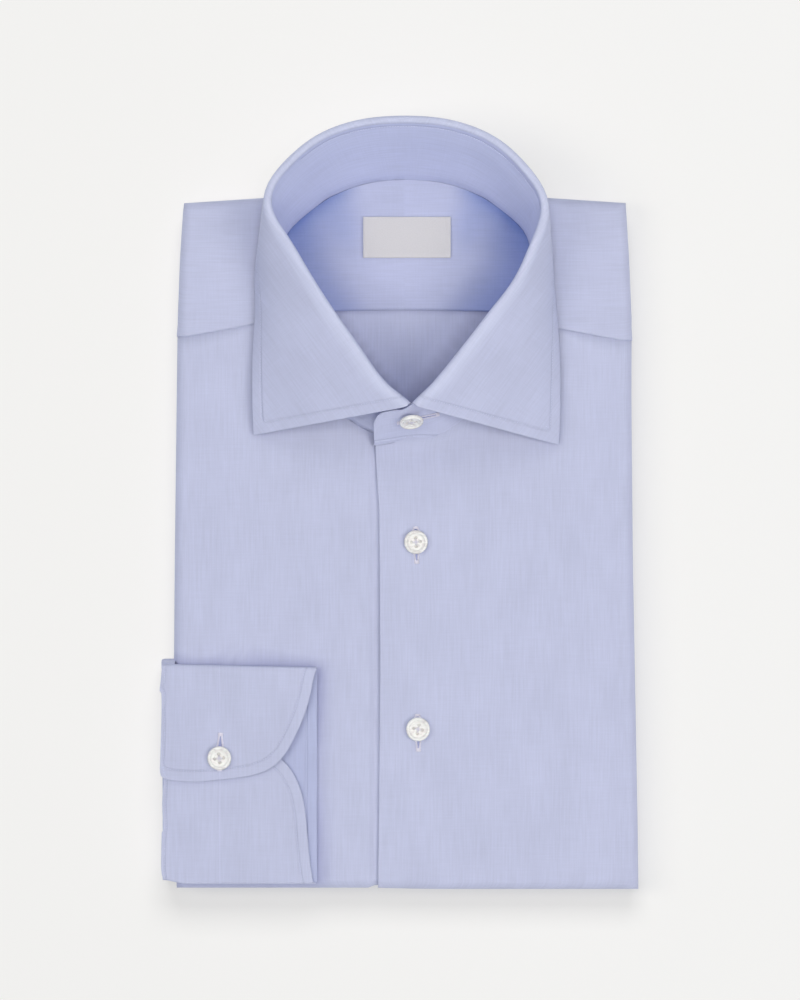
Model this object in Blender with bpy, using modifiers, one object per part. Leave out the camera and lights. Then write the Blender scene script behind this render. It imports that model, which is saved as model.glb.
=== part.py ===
"""Long sleeve dress shirt, folded for the shop shelf and lying on its back.

Frame: origin under the middle of the folded shirt on the table, +X to the wearer's left,
+Y towards the collar, +Z up from the table. All sizes below are in millimetres.
"""
import math

import bmesh
import bpy
from mathutils import Matrix, Vector

MM = 0.001

# ---- driving sizes -------------------------------------------------------------------
TOP = 17.4              # height of the front's face above the table
LIP_Z = 7.2             # underside of the edges that fold under
LIP = 2.5               # how far the folded edge runs on under the pile
WALL = 1.1              # body cloth
GAP = 0.35              # air between pieces that touch
FOLD = WALL + GAP       # one layer further in
NECK_MID = Vector((3.0, 92.0))
NECK_DROP = 4.8         # the shoulders sink this much towards the back of the neck
DISH_Z = 8.5            # the back's inside face, seen through the neck
LINING_Z = 8.9          # underside of the inner yoke
PLACKET_X = -10.4       # free edge of the upper front
UNDER_X = 18.0          # free edge of the lower front, beneath it
STAND_WALL = 1.2
LEAF_WALL = 1.2
ROLL = 2.8              # width of the collar's roll over the stand
LEAF_HEM = 3.2          # the leaf reaches down this far inside, to the seam on the stand
POINT_DROP = 4.5        # the wearer's left collar point hangs lower
LEAF_MID = 2.9
CUFF_WALL = 1.1
BUTTON_R = 5.7
BUTTON_H = 2.6

# edges of the folded body: y, wearer's right edge x, wearer's left edge x
BODY = (
    (-180.6, -105.5, 112.6),
    (-148.0, -106.3, 112.2),
    (-92.0, -106.9, 111.2),
    (-26.0, -106.4, 110.0),
    (49.0, -105.5, 109.3),
    (88.0, -105.0, 109.4),
    (117.0, -103.9, 108.2),
    (143.0, -102.2, 106.6),
)
# shoulder seams of the fronts: inner end and outer end
SEAM_RIGHT = (Vector((-54.5, 88.4)), Vector((-105.0, 80.5)))
SEAM_LEFT = (Vector((60.5, 86.6)), Vector((109.4, 78.6)))

# half collar from the front to the middle of the back:
# neckline half width, y | roll half width, middle x, y, z | leaf edge half width, y, z
COLLAR = (
    (0.0, 31.0, 1.9, 5.3, 47.6, 42.8, 71.5, 33.0, 19.4),
    (16.0, 32.5, 12.9, 4.4, 59.3, 43.0, 72.1, 43.0, 20.4),
    (31.0, 43.0, 24.2, 5.1, 74.4, 43.2, 72.2, 54.5, 20.8),
    (44.0, 60.0, 35.8, 5.6, 90.2, 43.5, 72.0, 67.0, 20.8),
    (53.0, 80.0, 46.0, 6.4, 104.6, 43.9, 71.4, 80.0, 20.4),
    (58.5, 102.0, 54.7, 5.6, 121.2, 44.3, 70.2, 94.0, 20.0),
    (58.0, 123.0, 61.8, 4.2, 138.0, 44.7, 68.8, 112.0, 19.6),
    (50.5, 135.0, 60.0, 2.8, 148.2, 45.0, 67.0, 134.0, 19.4),
    (38.0, 143.8, 55.2, 2.2, 155.4, 45.2, 62.6, 151.0, 17.0),
    (22.0, 150.8, 33.5, 2.0, 172.0, 45.4, 41.0, 164.5, 4.6),
    (0.0, 153.5, 0.0, 2.3, 178.5, 45.5, 0.0, 172.5, 3.0),
)


# ---- small helpers -------------------------------------------------------------------
def smooth(low, high, x):
    t = min(1.0, max(0.0, (x - low) / (high - low)))
    return t * t * (3 - 2 * t)


def between(table, y, column):
    """Value of a table's column at y, straight between rows."""
    rows = sorted(table)
    y = min(max(y, rows[0][0]), rows[-1][0])
    for low, high in zip(rows, rows[1:]):
        if y <= high[0]:
            t = (y - low[0]) / (high[0] - low[0])
            return low[column] + t * (high[column] - low[column])
    return rows[-1][column]


def spread(points, fractions):
    """Points at the given fractions of a line's length."""
    lengths = [(b - a).length for a, b in zip(points, points[1:])]
    total = sum(lengths)
    found = []
    for fraction in fractions:
        left = min(max(fraction, 0.0), 1.0) * total
        for k, length in enumerate(lengths):
            if left <= length or k == len(lengths) - 1:
                found.append(points[k].lerp(points[k + 1], left / length))
                break
            left -= length
    return found


def spline(rows, steps):
    """Smooth values through the rows of a table, with so many steps a row."""
    found = []
    for k in range(len(rows) - 1):
        before = rows[max(k - 1, 0)]
        after = rows[min(k + 2, len(rows) - 1)]
        for step in range(steps):
            t = step / steps
            values = []
            for a, b, c, d in zip(before, rows[k], rows[k + 1], after):
                values.append(0.5 * (2 * b + (c - a) * t + (2 * a - 5 * b + 4 * c - d) * t * t
                                     + (3 * b - a - 3 * c + d) * t * t * t))
            found.append(values)
    found.append(list(rows[-1]))
    return found


def rounded(points, cuts, steps=2):
    """A line of points with its inner corners rounded by the given cuts."""
    path = [points[0]]
    for before, corner, after, cut in zip(points, points[1:], points[2:], cuts):
        start = corner + (before - corner).normalized() * min(cut, (before - corner).length * 0.45)
        end = corner + (after - corner).normalized() * min(cut, (after - corner).length * 0.45)
        for k in range(steps + 1):
            t = k / steps
            path.append(start.lerp(corner, t).lerp(corner.lerp(end, t), t))
    path.append(points[-1])
    return path


# ---- the folded body's form ----------------------------------------------------------
def top_edge(x):
    """y of the shoulder fold, with the neck's part standing out behind the collar."""
    away = abs(x - NECK_MID.x)
    return 149.6 - 0.066 * away + 10.4 * (1 - smooth(44, 64, away))


def bottom_edge(x):
    return -180.6 - 0.6 * smooth(-20, 20, x)


def face_height(x, y):
    """Height of the shirt's face: flat, and lower towards the back of the neck."""
    near = 1 - smooth(40, 66, abs(x - NECK_MID.x))
    return TOP - NECK_DROP * near * smooth(105, 140, y)


def inset(point, distance):
    """A point of the outline moved in from the outline's sides."""
    middle = Vector((2.9, -17.0))
    half = Vector((108.5, 163.0))
    return Vector((point.x - distance * (point.x - middle.x) / half.x,
                   point.y - distance * (point.y - middle.y) / half.y))


def side_points(column, low, high, count):
    """Points up one side edge, from low to high."""
    ys = [low + (high - low) * k / count for k in range(count + 1)]
    return [Vector((between(BODY, y, column), y)) for y in ys]


def neck_line(side, steps=2):
    """Neckline of one half, from the front to the back; side is -1 or 1."""
    rows = spline([row[:2] for row in COLLAR], steps)
    return [Vector((NECK_MID.x + side * half, y)) for half, y in rows]


def in_from_neck(points, distance):
    """Neckline points moved towards the middle of the neck."""
    return [p + (NECK_MID - p).normalized() * distance for p in points]


# ---- making solids -------------------------------------------------------------------
def remove_all():
    for thing in list(bpy.data.objects):
        bpy.data.objects.remove(thing, do_unlink=True)


def material(name, color, rough):
    made = bpy.data.materials.new(name)
    made.use_nodes = True
    shader = made.node_tree.nodes["Principled BSDF"]
    shader.inputs["Base Color"].default_value = (*color, 1.0)
    shader.inputs["Roughness"].default_value = rough
    return made


def add_object(name, mesh_maker, home, look):
    mesh = bpy.data.meshes.new(name)
    mesh_maker.to_mesh(mesh)
    mesh_maker.free()
    thing = bpy.data.objects.new(name, mesh)
    home.objects.link(thing)
    if look is not None:
        mesh.materials.append(look)
    return thing


def sheet(name, rows, wall, side, look, up):
    """A cloth panel: rows of points thickened by a wall.

    side is -1 for a wall behind the points, 0 for one shared by both sides. up is the
    direction that the panel's face looks in at its first corner.
    """
    mesh_maker = bmesh.new()
    across = len(rows) - 1
    along = len(rows[0]) - 1
    bmesh.ops.create_grid(mesh_maker, x_segments=across, y_segments=along, size=1.0)
    for vertex in mesh_maker.verts:
        i = round((vertex.co.x + 1) / 2 * across)
        j = round((vertex.co.y + 1) / 2 * along)
        vertex.co = rows[i][j] * MM
    mesh_maker.normal_update()
    mesh_maker.faces.ensure_lookup_table()
    if sum((face.normal.dot(up) * face.calc_area() for face in mesh_maker.faces), 0.0) < 0:
        bmesh.ops.reverse_faces(mesh_maker, faces=mesh_maker.faces)
    thing = add_object(name, mesh_maker, shirt, look)
    thicken = thing.modifiers.new("wall", "SOLIDIFY")
    thicken.thickness = wall * MM
    thicken.offset = side
    thicken.use_even_offset = True
    return thing


def rings_solid(name, rings, look):
    """A closed solid through rings of equal count, capped at both ends."""
    mesh_maker = bmesh.new()
    made = [[mesh_maker.verts.new(point * MM) for point in ring] for ring in rings]
    count = len(rings[0])
    for low, high in zip(made, made[1:]):
        for k in range(count):
            after = (k + 1) % count
            mesh_maker.faces.new((low[k], low[after], high[after], high[k]))
    mesh_maker.faces.new(list(reversed(made[0])))
    mesh_maker.faces.new(made[-1])
    bmesh.ops.recalc_face_normals(mesh_maker, faces=mesh_maker.faces)
    return add_object(name, mesh_maker, shirt, look)


# ---- body panels ---------------------------------------------------------------------
def body_panel(name, inner, outer, flat, look, sink):
    """A panel from its inner line over the face and round the folded outline."""
    rows = []
    for start, edge in zip(inner, outer):
        deep = sink(edge.x, edge.y)
        top = face_height(edge.x, edge.y) - deep
        low = LIP_Z + deep
        radius = (top - low) / 2
        turn = inset(edge, deep + radius)
        row = []
        for t in flat:
            spot = start.lerp(turn, t)
            height = face_height(spot.x, spot.y) - sink(spot.x, spot.y)
            row.append(Vector((spot.x, spot.y, height)))
        for k in range(1, 7):
            angle = math.pi * k / 6
            spot = inset(edge, deep + radius - radius * math.sin(angle))
            row.append(Vector((spot.x, spot.y, low + radius + radius * math.cos(angle))))
        spot = inset(edge, deep + radius + LIP)
        row.append(Vector((spot.x, spot.y, low)))
        rows.append(row)
    return sheet(name, rows, WALL, -1, look, Vector((0, 0, 1)))


def no_sink(x, y):
    return 0.0


def under_sink(x, y):
    """The lower front dips beneath the upper one's free edge."""
    return FOLD * smooth(-16.5, -11.6, x)


def front_lines(side, free_x, seam, column):
    """Inner and outer lines of a front, from its free edge to its shoulder seam."""
    neck = [p for p in neck_line(side) if p.y < seam[0].y - 1.0]
    if side < 0:
        first = [Vector((x, 31.6)) for x in (free_x, -8.0, -11.4, -13.0, -15.0, -17.5)]
        neck = [p for p in neck if p.x < -19.0]
    else:
        first = [Vector((x, 31.4)) for x in (free_x, 4.0)]
        neck = [p for p in neck if p.x > 12.0]
    inner = first + spread(neck + [seam[0]], [k / 17 for k in range(18)])
    low_corner = Vector((between(BODY, -181.0, column), bottom_edge(side * 100)))
    start = Vector((first[-1].x + side * 6, bottom_edge(first[-1].x)))
    low = [start.lerp(low_corner, k / 7) for k in range(8)]
    low = [Vector((p.x, bottom_edge(p.x))) for p in low]
    up = side_points(column, -180.6, seam[1].y, 10)[1:]
    outer = [Vector((p.x, bottom_edge(p.x))) for p in first] + low + up
    return in_from_neck(inner, 0.8), outer


def make_fronts(look_upper, look_lower):
    inner, outer = front_lines(1, PLACKET_X, SEAM_LEFT, 2)
    flat = (0, 0.05, 0.2, 0.45, 0.75, 1)
    body_panel("left_front", inner, outer, flat, look_upper, no_sink)
    inner, outer = front_lines(-1, UNDER_X, SEAM_RIGHT, 1)
    body_panel("right_front", inner, outer, flat, look_lower, under_sink)


def make_yoke(look):
    """Outer yoke: both shoulders and the strip behind the neck that joins them."""
    up = Vector((0, 0.4))
    right = [p for p in neck_line(-1) if p.y > SEAM_RIGHT[0].y + 1.0]
    left = [p for p in neck_line(1) if p.y > SEAM_LEFT[0].y + 1.0]
    neck = [SEAM_RIGHT[0] + up] + right + list(reversed(left))[1:] + [SEAM_LEFT[0] + up]
    rise = side_points(1, SEAM_RIGHT[1].y + 0.4, top_edge(-102.0), 5)
    fall = list(reversed(side_points(2, SEAM_LEFT[1].y + 0.4, top_edge(106.6), 5)))
    xs = [-102.0 + 208.6 * (0.5 - 0.5 * math.cos(math.pi * (k / 28 * 0.8 + 0.1)) - 0.02447)
          / 0.95106 for k in range(29)]
    across = [Vector((x, top_edge(x))) for x in xs]
    outer = rise[:-1] + across + fall[1:]
    last = len(outer) - 1
    inner = in_from_neck(spread(neck, [k / last for k in range(last + 1)]), 0.8)
    body_panel("yoke", inner, outer, (0, 0.35, 0.7, 1), look, no_sink)


def make_back(look):
    """The back and all layers folded away behind it, with the neck's hollow on top."""
    neck = neck_line(-1, 2) + list(reversed(neck_line(1, 2)))[1:-1]
    corners = 9, 12, 15, 12
    low = [Vector((-105.5 + 218.1 * k / corners[0], 0)) for k in range(corners[0])]
    low = [Vector((p.x, bottom_edge(p.x))) for p in low]
    left = side_points(2, -180.6, top_edge(106.6), corners[1])[:-1]
    over = [Vector((106.6 - 208.8 * k / corners[2], 0)) for k in range(corners[2])]
    over = [Vector((p.x, top_edge(p.x))) for p in over]
    right = list(reversed(side_points(1, -180.6, top_edge(-102.2), corners[3])))[:-1]
    outline = low + left + over + right

    def neck_point(toward):
        """Where the line from the neck's middle towards a point meets the neckline."""
        way = (toward - NECK_MID).normalized()
        best = max(neck, key=lambda p: (p - NECK_MID).normalized().dot(way))
        at = neck.index(best)
        choices = []
        for other in (neck[at - 1], neck[(at + 1) % len(neck)]):
            line = other - best
            cross = way.x * line.y - way.y * line.x
            offset = best - NECK_MID
            if abs(cross) > 1e-6:
                t = (way.y * offset.x - way.x * offset.y) / cross
                if -0.001 <= t <= 1.001:
                    choices.append(best + line * t)
        return (choices or [best])[0]

    collar = in_from_neck([neck_point(p) for p in outline], 0.9)

    def part_way(p):
        return (face_height(p.x, p.y) - LIP_Z) / (TOP - LIP_Z)

    def ring(distance, height):
        made = []
        for p in outline:
            spot = inset(p, distance)
            z = height if height < LIP_Z else LIP_Z + (height - LIP_Z) * part_way(p)
            made.append(Vector((spot.x, spot.y, z)))
        return made

    # the layers under the body: height, how far in
    layers = ((0.0, 2.6), (0.7, 1.2), (1.6, 0.7), (2.5, 1.2), (3.2, 2.6), (3.9, 1.3),
              (4.9, 0.8), (5.9, 1.3), (6.8, 3.0))
    rings = [ring(far, z) for z, far in layers]
    for z in (6.8, 10.15):
        notch = []
        for p in outline:
            radius = (face_height(p.x, p.y) - LIP_Z) / 2
            spot = inset(p, radius + LIP + 1.2)
            height = z if z < LIP_Z else LIP_Z + (z - LIP_Z) * part_way(p)
            notch.append(Vector((spot.x, spot.y, height)))
        rings.append(notch)
    core_top = TOP - 2 * FOLD - 0.1
    rings += [ring(4.5, 10.15), ring(3.6, 11.2), ring(3.6, 13.4), ring(4.5, core_top)]
    for t in (0.3, 0.65, 0.9, 1.0):
        made = []
        for edge, near in zip(outline, collar):
            spot = inset(edge, 4.5).lerp(near, t)
            z = LIP_Z + (core_top - LIP_Z) * part_way(spot)
            made.append(Vector((spot.x, spot.y, z)))
        rings.append(made)
    rings.append([Vector((p.x, p.y, DISH_Z)) for p in collar])
    rings_solid("back", rings, look)


def make_lining(look):
    """Inner yoke, seen through the neck; it curves up to the stand all round."""
    seam_y = 91.0
    loop = [p for p in neck_line(-1, 2) if p.y > seam_y + 1.0]
    loop += [p for p in reversed(neck_line(1, 2)) if p.y > seam_y + 1.0][1:]
    count = 24
    rim = []
    for k, p in enumerate(spread(loop, [k / count for k in range(count + 1)])):
        rim += in_from_neck([p], 2.3 + 2.2 * abs(math.cos(math.pi * k / count)))
    rim[0].y = seam_y + 0.6
    rim[-1].y = seam_y + 0.6
    rows = []
    for k, edge in enumerate(rim):
        seam = Vector((rim[0].x + (rim[-1].x - rim[0].x) * k / count, seam_y))
        seam.y += 1.3 * math.sin(math.pi * k / count)
        rise = face_height(edge.x, edge.y) - 0.5 - LINING_Z - WALL
        row = []
        for t in (0.0, 0.4, 0.78, 0.9, 1.0):
            spot = seam.lerp(edge, t)
            high = min(rise, 2.4) * smooth(0.78, 1.0, t) * math.sin(math.pi * k / count)
            row.append(Vector((spot.x, spot.y, LINING_Z + WALL + high)))
        rows.append(row)
    sheet("yoke_lining", rows, WALL, -1, look, Vector((0, 0, 1)))


# ---- collar --------------------------------------------------------------------------
def collar_stations(side, steps):
    """Neckline, roll and leaf edge points of one half from the front to the back."""
    stations = []
    for row in spline(COLLAR, steps):
        base_x = NECK_MID.x + side * row[0]
        base = Vector((base_x, row[1], face_height(base_x, row[1]) + 0.95))
        roll = Vector((row[3] + side * row[2], row[4], row[5]))
        drop = POINT_DROP * (1 - smooth(33, 60, row[7])) if side > 0 else 0.0
        edge = Vector((LEAF_MID + side * row[6], row[7] - drop, row[8]))
        stations.append((base, roll, edge))
    return stations


def whole_collar(steps):
    right = collar_stations(-1, steps)
    left = collar_stations(1, steps)
    return right + list(reversed(left))[1:]


def outward(stations, k):
    """Across the stand, away from the neck, at a station."""
    base, roll, edge = stations[k]
    before = stations[max(k - 1, 0)][1]
    after = stations[min(k + 1, len(stations) - 1)][1]
    run = (after - before).normalized()
    rise = (roll - base).normalized()
    across = run.cross(rise).normalized()
    away = Vector((roll.x - NECK_MID.x, roll.y - 110.0, 0.0))
    if across.dot(away) < 0:
        across = -across
    return across


def make_collar(look_stand, look_leaf):
    stations = whole_collar(3)
    last = len(stations) - 1
    leaf_rows = []
    stand_rows = []
    for k, (base, roll, edge) in enumerate(stations):
        rise = (roll - base).normalized()
        away = outward(stations, k)
        hem = LEAF_HEM * smooth(-1.5, 4.5, min(k, last - k)) + 0.6
        crest = roll + away * ROLL
        seam = roll - rise * hem
        path = rounded([seam, roll, crest, edge], (1.3, 1.5))
        start = path.pop(-2)
        leg = []
        for t in (0.0, 0.15, 0.35, 0.6, 0.82, 1.0):
            spot = start.lerp(edge, t)
            spot.z += 1.6 * math.sin(math.pi * t) * smooth(0, 60, (edge - roll).length)
            leg.append(spot)
        leaf_rows.append(path[:-1] + leg)
        stop = roll - rise * (hem + GAP + 0.2)
        stand_rows.append([base.lerp(stop, t) for t in (0, 0.25, 0.5, 0.75, 1)])
    sheet("collar_leaf", leaf_rows, LEAF_WALL, 0, look_leaf, Vector((0, 0, 1)))
    stand = stand_with_ends(stand_rows)
    sheet("collar_stand", stand, STAND_WALL, 0, look_stand, Vector((0, -1, 0.2)))


def stand_with_ends(rows):
    """The stand's rows with the lower band's end inside and the upper band's end over it."""
    heights = (0, 0.25, 0.5, 0.75, 1)
    # lower band, beneath the upper one: x at the neckline, top x, top y, top z
    inside = ((11.0, 11.0, 48.2, 33.5), (3.5, 4.0, 51.6, 39.0))
    first = []
    for base_x, top_x, top_y, top_z in inside:
        base = Vector((base_x, 33.6, TOP + 0.95))
        top = Vector((top_x, top_y, top_z))
        first.append([base.lerp(top, t) for t in heights])
    # upper band's free end: x at the neckline, top x, top y, top z
    outside = ((3.0, 3.2, 45.4, 40.0), (-3.0, -2.8, 44.4, 38.4), (-7.4, -7.4, 43.6, 37.0),
               (-10.4, -10.4, 42.0, 34.4), (-12.2, -12.2, 38.6, 29.6))
    final = []
    for base_x, top_x, top_y, top_z in outside:
        base = Vector((base_x, 31.0 - 0.08 * (3.0 - base_x), TOP + 0.95))
        top = Vector((top_x, top_y, top_z))
        final.append([base.lerp(top, t) for t in heights])
    body = rows[1:-1]
    moved = []
    for k, row in enumerate(body):
        shift = 2.1 * (1 - smooth(0, 4.5, k))
        moved.append([p + Vector((0.0, shift * (1 - 0.85 * t), 0.0))
                      for p, t in zip(row, heights)])
    return first + moved + final


# ---- sleeve and cuff -----------------------------------------------------------------
CUFF_TOP_Y = -73.4       # fold on the side of the collar
CUFF_LOW_Y = -178.0      # fold on the side of the hem
CUFF_X = -110.3          # seam to the sleeve
HAND_X = -39.0           # opening for the hand
CUFF_Z = TOP + GAP + CUFF_WALL / 2
CUFF_STEP = CUFF_WALL + GAP
FLAP_END_Y = -129.7      # end of the upper flap
UNDER_END_Y = -112.0     # end of the lower flap, hidden


def make_cuff(look):
    """A flattened round-cornered cuff whose upper flap buttons over the lower one."""
    top_z = CUFF_Z + 2 * CUFF_STEP
    mid_z = CUFF_Z + CUFF_STEP
    path = []
    for k in range(9):
        path.append(("upper", k / 8))
    for k in range(1, 4):
        path.append(("top fold", k / 4))
    for k in range(7):
        path.append(("far", k / 6))
    for k in range(1, 4):
        path.append(("low fold", k / 4))
    for k in range(9):
        path.append(("lower", k / 8))
    rows = []
    for place, t in path:
        row = []
        for p in (0.0, 0.2, 0.4, 0.6, 0.75, 0.88, 1.0):
            row.append(cuff_point(place, t, p, top_z, mid_z))
        rows.append(row)
    sheet("right_cuff", rows, CUFF_WALL, 0, look, Vector((0, 0, 1)))


def cuff_point(place, t, p, top_z, mid_z):
    width = HAND_X - CUFF_X
    if place == "upper":
        q = 1 - t
        hand = width - 0.6 - 15.5 * q ** 2.2
        y = CUFF_TOP_Y - 1.8 + (FLAP_END_Y - CUFF_TOP_Y + 1.8) * q
        y += 9.8 * q * p ** 2.4
        return Vector((CUFF_X + hand * p, y, top_z - 0.25 * (1 - q)))
    if place == "top fold":
        angle = math.pi * t
        middle = (top_z - 0.25 + CUFF_Z) / 2
        radius = (top_z - 0.25 - CUFF_Z) / 2
        y = CUFF_TOP_Y - 1.8 + radius * math.sin(angle)
        return Vector((CUFF_X + (width - 0.6 + 0.6 * t) * p, y, middle + radius * math.cos(angle)))
    if place == "far":
        y = CUFF_TOP_Y - 1.8 + (CUFF_LOW_Y - CUFF_TOP_Y + 3.0) * t
        return Vector((CUFF_X + width * p, y, CUFF_Z))
    if place == "low fold":
        angle = math.pi * t
        middle = (mid_z + CUFF_Z) / 2
        radius = (mid_z - CUFF_Z) / 2
        y = CUFF_LOW_Y + 1.2 - radius * math.sin(angle)
        return Vector((CUFF_X + (width - 1.6 * t) * p, y, middle - radius * math.cos(angle)))
    q = t
    length = UNDER_END_Y - CUFF_LOW_Y - 1.2
    hand = width - 1.6 - 0.09 * length * q - 13.0 * q ** 3.4
    return Vector((CUFF_X + hand * p, CUFF_LOW_Y + 1.2 + length * q - 7.0 * q * p ** 3, mid_z))


def make_sleeve(look):
    """The sleeve's last stretch, pressed flat, coming round the body's edge to the cuff."""
    outer = -113.0
    # across the edge: x, z, of the middle of both layers
    section = ((-107.6, 1.6), (-110.2, 1.9), (-111.6, 3.6), (-111.9, 7.0), (-111.9, 12.0),
               (-112.0, 16.5), (-111.95, 18.8), (-111.6, 19.8))
    ys = [-74.6 - 101.4 * k / 14 for k in range(15)]
    rows = []
    for k, y in enumerate(ys):
        swell = 0.35 * math.sin(k * 2.1) if 0 < k < 14 else -0.3
        row = []
        for x, z in section:
            lift = smooth(3, 8, z) * (1 - smooth(17, 19.5, z))
            row.append(Vector((max(x - swell * lift, outer + 0.95), y, z)))
        rows.append(row)
    sheet("right_sleeve", rows, 1.8, 0, look, Vector((-1, 0, 0)))


# ---- buttons and label ---------------------------------------------------------------
def make_button(name, place, turn, look):
    """A four-hole shirt button with a raised rim."""
    mesh_maker = bmesh.new()
    bmesh.ops.create_cone(mesh_maker, cap_ends=True, segments=28, radius1=BUTTON_R * MM,
                          radius2=BUTTON_R * MM, depth=BUTTON_H * MM)
    top = [face for face in mesh_maker.faces if face.normal.z > 0.9]
    inner = bmesh.ops.inset_region(mesh_maker, faces=top, thickness=1.3 * MM)
    for face in top:
        bmesh.ops.translate(mesh_maker, verts=face.verts, vec=(0, 0, -0.6 * MM))
    rims = [edge for edge in mesh_maker.edges
            if all(abs(v.co.xy.length - BUTTON_R * MM) < 1e-6 for v in edge.verts)
            and abs(edge.verts[0].co.z - edge.verts[1].co.z) < 1e-6]
    bmesh.ops.bevel(mesh_maker, geom=rims, offset=0.5 * MM, segments=1, affect="EDGES",
                    profile=0.5)
    button = add_object(name, mesh_maker, shirt, look)
    drill = bmesh.new()
    for k in range(4):
        angle = math.pi / 2 * k
        spot = Matrix.Translation((2.1 * MM * math.cos(angle), 2.1 * MM * math.sin(angle), 0))
        bmesh.ops.create_cone(drill, cap_ends=True, segments=10, radius1=0.65 * MM,
                              radius2=0.65 * MM, depth=8 * MM, matrix=spot)
    holes = add_object(name + "_holes", drill, cutters, None)
    holes.hide_render = True
    holes.display_type = "WIRE"
    cut = button.modifiers.new("holes", "BOOLEAN")
    cut.object = holes
    cut.operation = "DIFFERENCE"
    cut.solver = "EXACT"
    stand_at = Matrix.Translation(place * MM) @ turn
    for thing in (button, holes):
        thing.data.transform(stand_at)
    return button


def make_buttons(look):
    low = BUTTON_H / 2 + GAP
    level = Matrix.Identity(4)
    make_button("front_button_upper", Vector((7.5, -17.3, TOP + low)), level, look)
    make_button("front_button_lower", Vector((8.5, -105.4, TOP + low)), level, look)
    cuff_top = CUFF_Z + 2 * CUFF_STEP + CUFF_WALL / 2
    make_button("cuff_button", Vector((-84.8, -118.7, cuff_top + low)), level, look)
    tilt = Matrix.Rotation(math.radians(8), 4, "Z") @ Matrix.Rotation(math.radians(56), 4, "X")
    face = Vector((5.3, 38.9, 30.5)) + (tilt @ Vector((0, 0, 1))) * (STAND_WALL / 2 + low + 0.2)
    make_button("collar_button", face, tilt, look)


def make_label(look):
    """The blank woven label on the inner yoke."""
    rows = []
    low = LINING_Z + WALL + 0.25
    for k in range(7):
        x = -17.4 + 41.4 * k / 6
        row = []
        for j in range(4):
            y = 117.0 + 19.4 * j / 3
            row.append(Vector((x, y, low + 0.5)))
        rows.append(row)
    sheet("label", rows, 0.5, -1, look, Vector((0, 0, 1)))


# ---- build ---------------------------------------------------------------------------
remove_all()
shirt = bpy.data.collections.new("Long sleeve dress shirt")
cutters = bpy.data.collections.new("Cutters")
bpy.context.scene.collection.children.link(shirt)
bpy.context.scene.collection.children.link(cutters)

BLUE = (0.50, 0.55, 0.73)
make_back(material("back_cloth", (0.47, 0.52, 0.70), 0.85))
make_fronts(material("left_front_cloth", BLUE, 0.85), material("right_front_cloth", BLUE, 0.85))
make_yoke(material("yoke_cloth", BLUE, 0.85))
make_lining(material("yoke_lining_cloth", BLUE, 0.85))
make_collar(material("stand_cloth", BLUE, 0.85), material("leaf_cloth", BLUE, 0.85))
make_sleeve(material("sleeve_cloth", BLUE, 0.85))
make_cuff(material("cuff_cloth", BLUE, 0.85))
make_buttons(material("button_shell", (0.84, 0.82, 0.79), 0.3))
make_label(material("label_tape", (0.80, 0.79, 0.78), 0.7))
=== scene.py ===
import math

import bmesh
import bpy
from mathutils import Matrix, Vector, noise


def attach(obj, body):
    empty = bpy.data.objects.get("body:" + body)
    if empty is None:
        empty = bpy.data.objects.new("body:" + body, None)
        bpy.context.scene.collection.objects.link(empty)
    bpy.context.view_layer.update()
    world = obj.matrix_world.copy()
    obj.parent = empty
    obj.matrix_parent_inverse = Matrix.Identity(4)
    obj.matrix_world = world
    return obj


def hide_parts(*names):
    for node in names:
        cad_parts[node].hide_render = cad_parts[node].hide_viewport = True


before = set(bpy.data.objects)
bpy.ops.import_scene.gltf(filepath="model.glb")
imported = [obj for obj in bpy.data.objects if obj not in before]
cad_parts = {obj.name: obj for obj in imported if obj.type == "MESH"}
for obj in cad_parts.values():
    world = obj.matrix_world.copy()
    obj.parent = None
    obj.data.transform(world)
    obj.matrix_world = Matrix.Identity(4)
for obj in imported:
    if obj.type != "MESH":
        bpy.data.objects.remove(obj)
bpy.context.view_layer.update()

# ---- Table and light -----------------------------------------------------------------
# The shirt lies on a pale table top whose own glow is painted light, as if it were lit faintly
# from below. Soft boxes stand all round it, and it is seen from straight above.
CAMERA = (0.0, 0.0025, 1.7)
TO_FACE = 1.683         # from the camera down to the shirt's face
VIEW_LENGTH = 0.471     # how much of the face's plane the view's long side takes in
SENSOR = 36.0
TABLE_HALF = 6.0
TABLE_COLOR = (0.57, 0.555, 0.525, 1.0)
GLOW_COLOR = (1.0, 0.985, 0.96, 1.0)
# painted light: the table glows by itself, more to the right and away from the head
TABLE_GLOW = 0.405      # at the middle; it grows to the right and away from the head
GLOW_RIGHT = 0.13
GLOW_HEAD = -0.08
WARM = (1.0, 0.955, 0.875)
COOL = (0.98, 0.985, 1.0)
# name, place, size, power, color, whether its light is kept off the table or only on it
SOFT_BOXES = (
    ("right_softbox", (1.1, -0.25, 1.4), (0.7, 1.0), 11.2, WARM, "EXCLUDE"),
    ("left_softbox", (-1.1, 0.1, 1.4), (0.7, 1.0), 7.4, WARM, None),
    ("top_softbox", (0.0, 0.2, 2.3), (1.0, 1.0), 8.25, WARM, None),
    ("front_softbox", (0.1, -1.5, 1.4), (1.2, 0.8), 7.1, WARM, "EXCLUDE"),
    ("head_softbox", (-0.2, 1.5, 1.2), (1.2, 0.8), 5.4, WARM, "EXCLUDE"),
    ("table_softbox", (0.0, 2.6, 2.9), (2.6, 1.6), 71.0, COOL, "INCLUDE"),
)
SKY_COLOR = (0.68, 0.80, 1.0, 1.0)
SKY_STRENGTH = 0.32


def feed(look, node, values):
    """Sets a node's sockets to numbers or colours, or joins them to other nodes' outputs."""
    for socket, value in values.items():
        if isinstance(value, bpy.types.NodeSocket):
            look.node_tree.links.new(value, node.inputs[socket])
        else:
            node.inputs[socket].default_value = value


def add_node(look, kind, values, **settings):
    node = look.node_tree.nodes.new("ShaderNode" + kind)
    for name, setting in settings.items():
        setattr(node, name, setting)
    feed(look, node, values)
    return node


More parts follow.
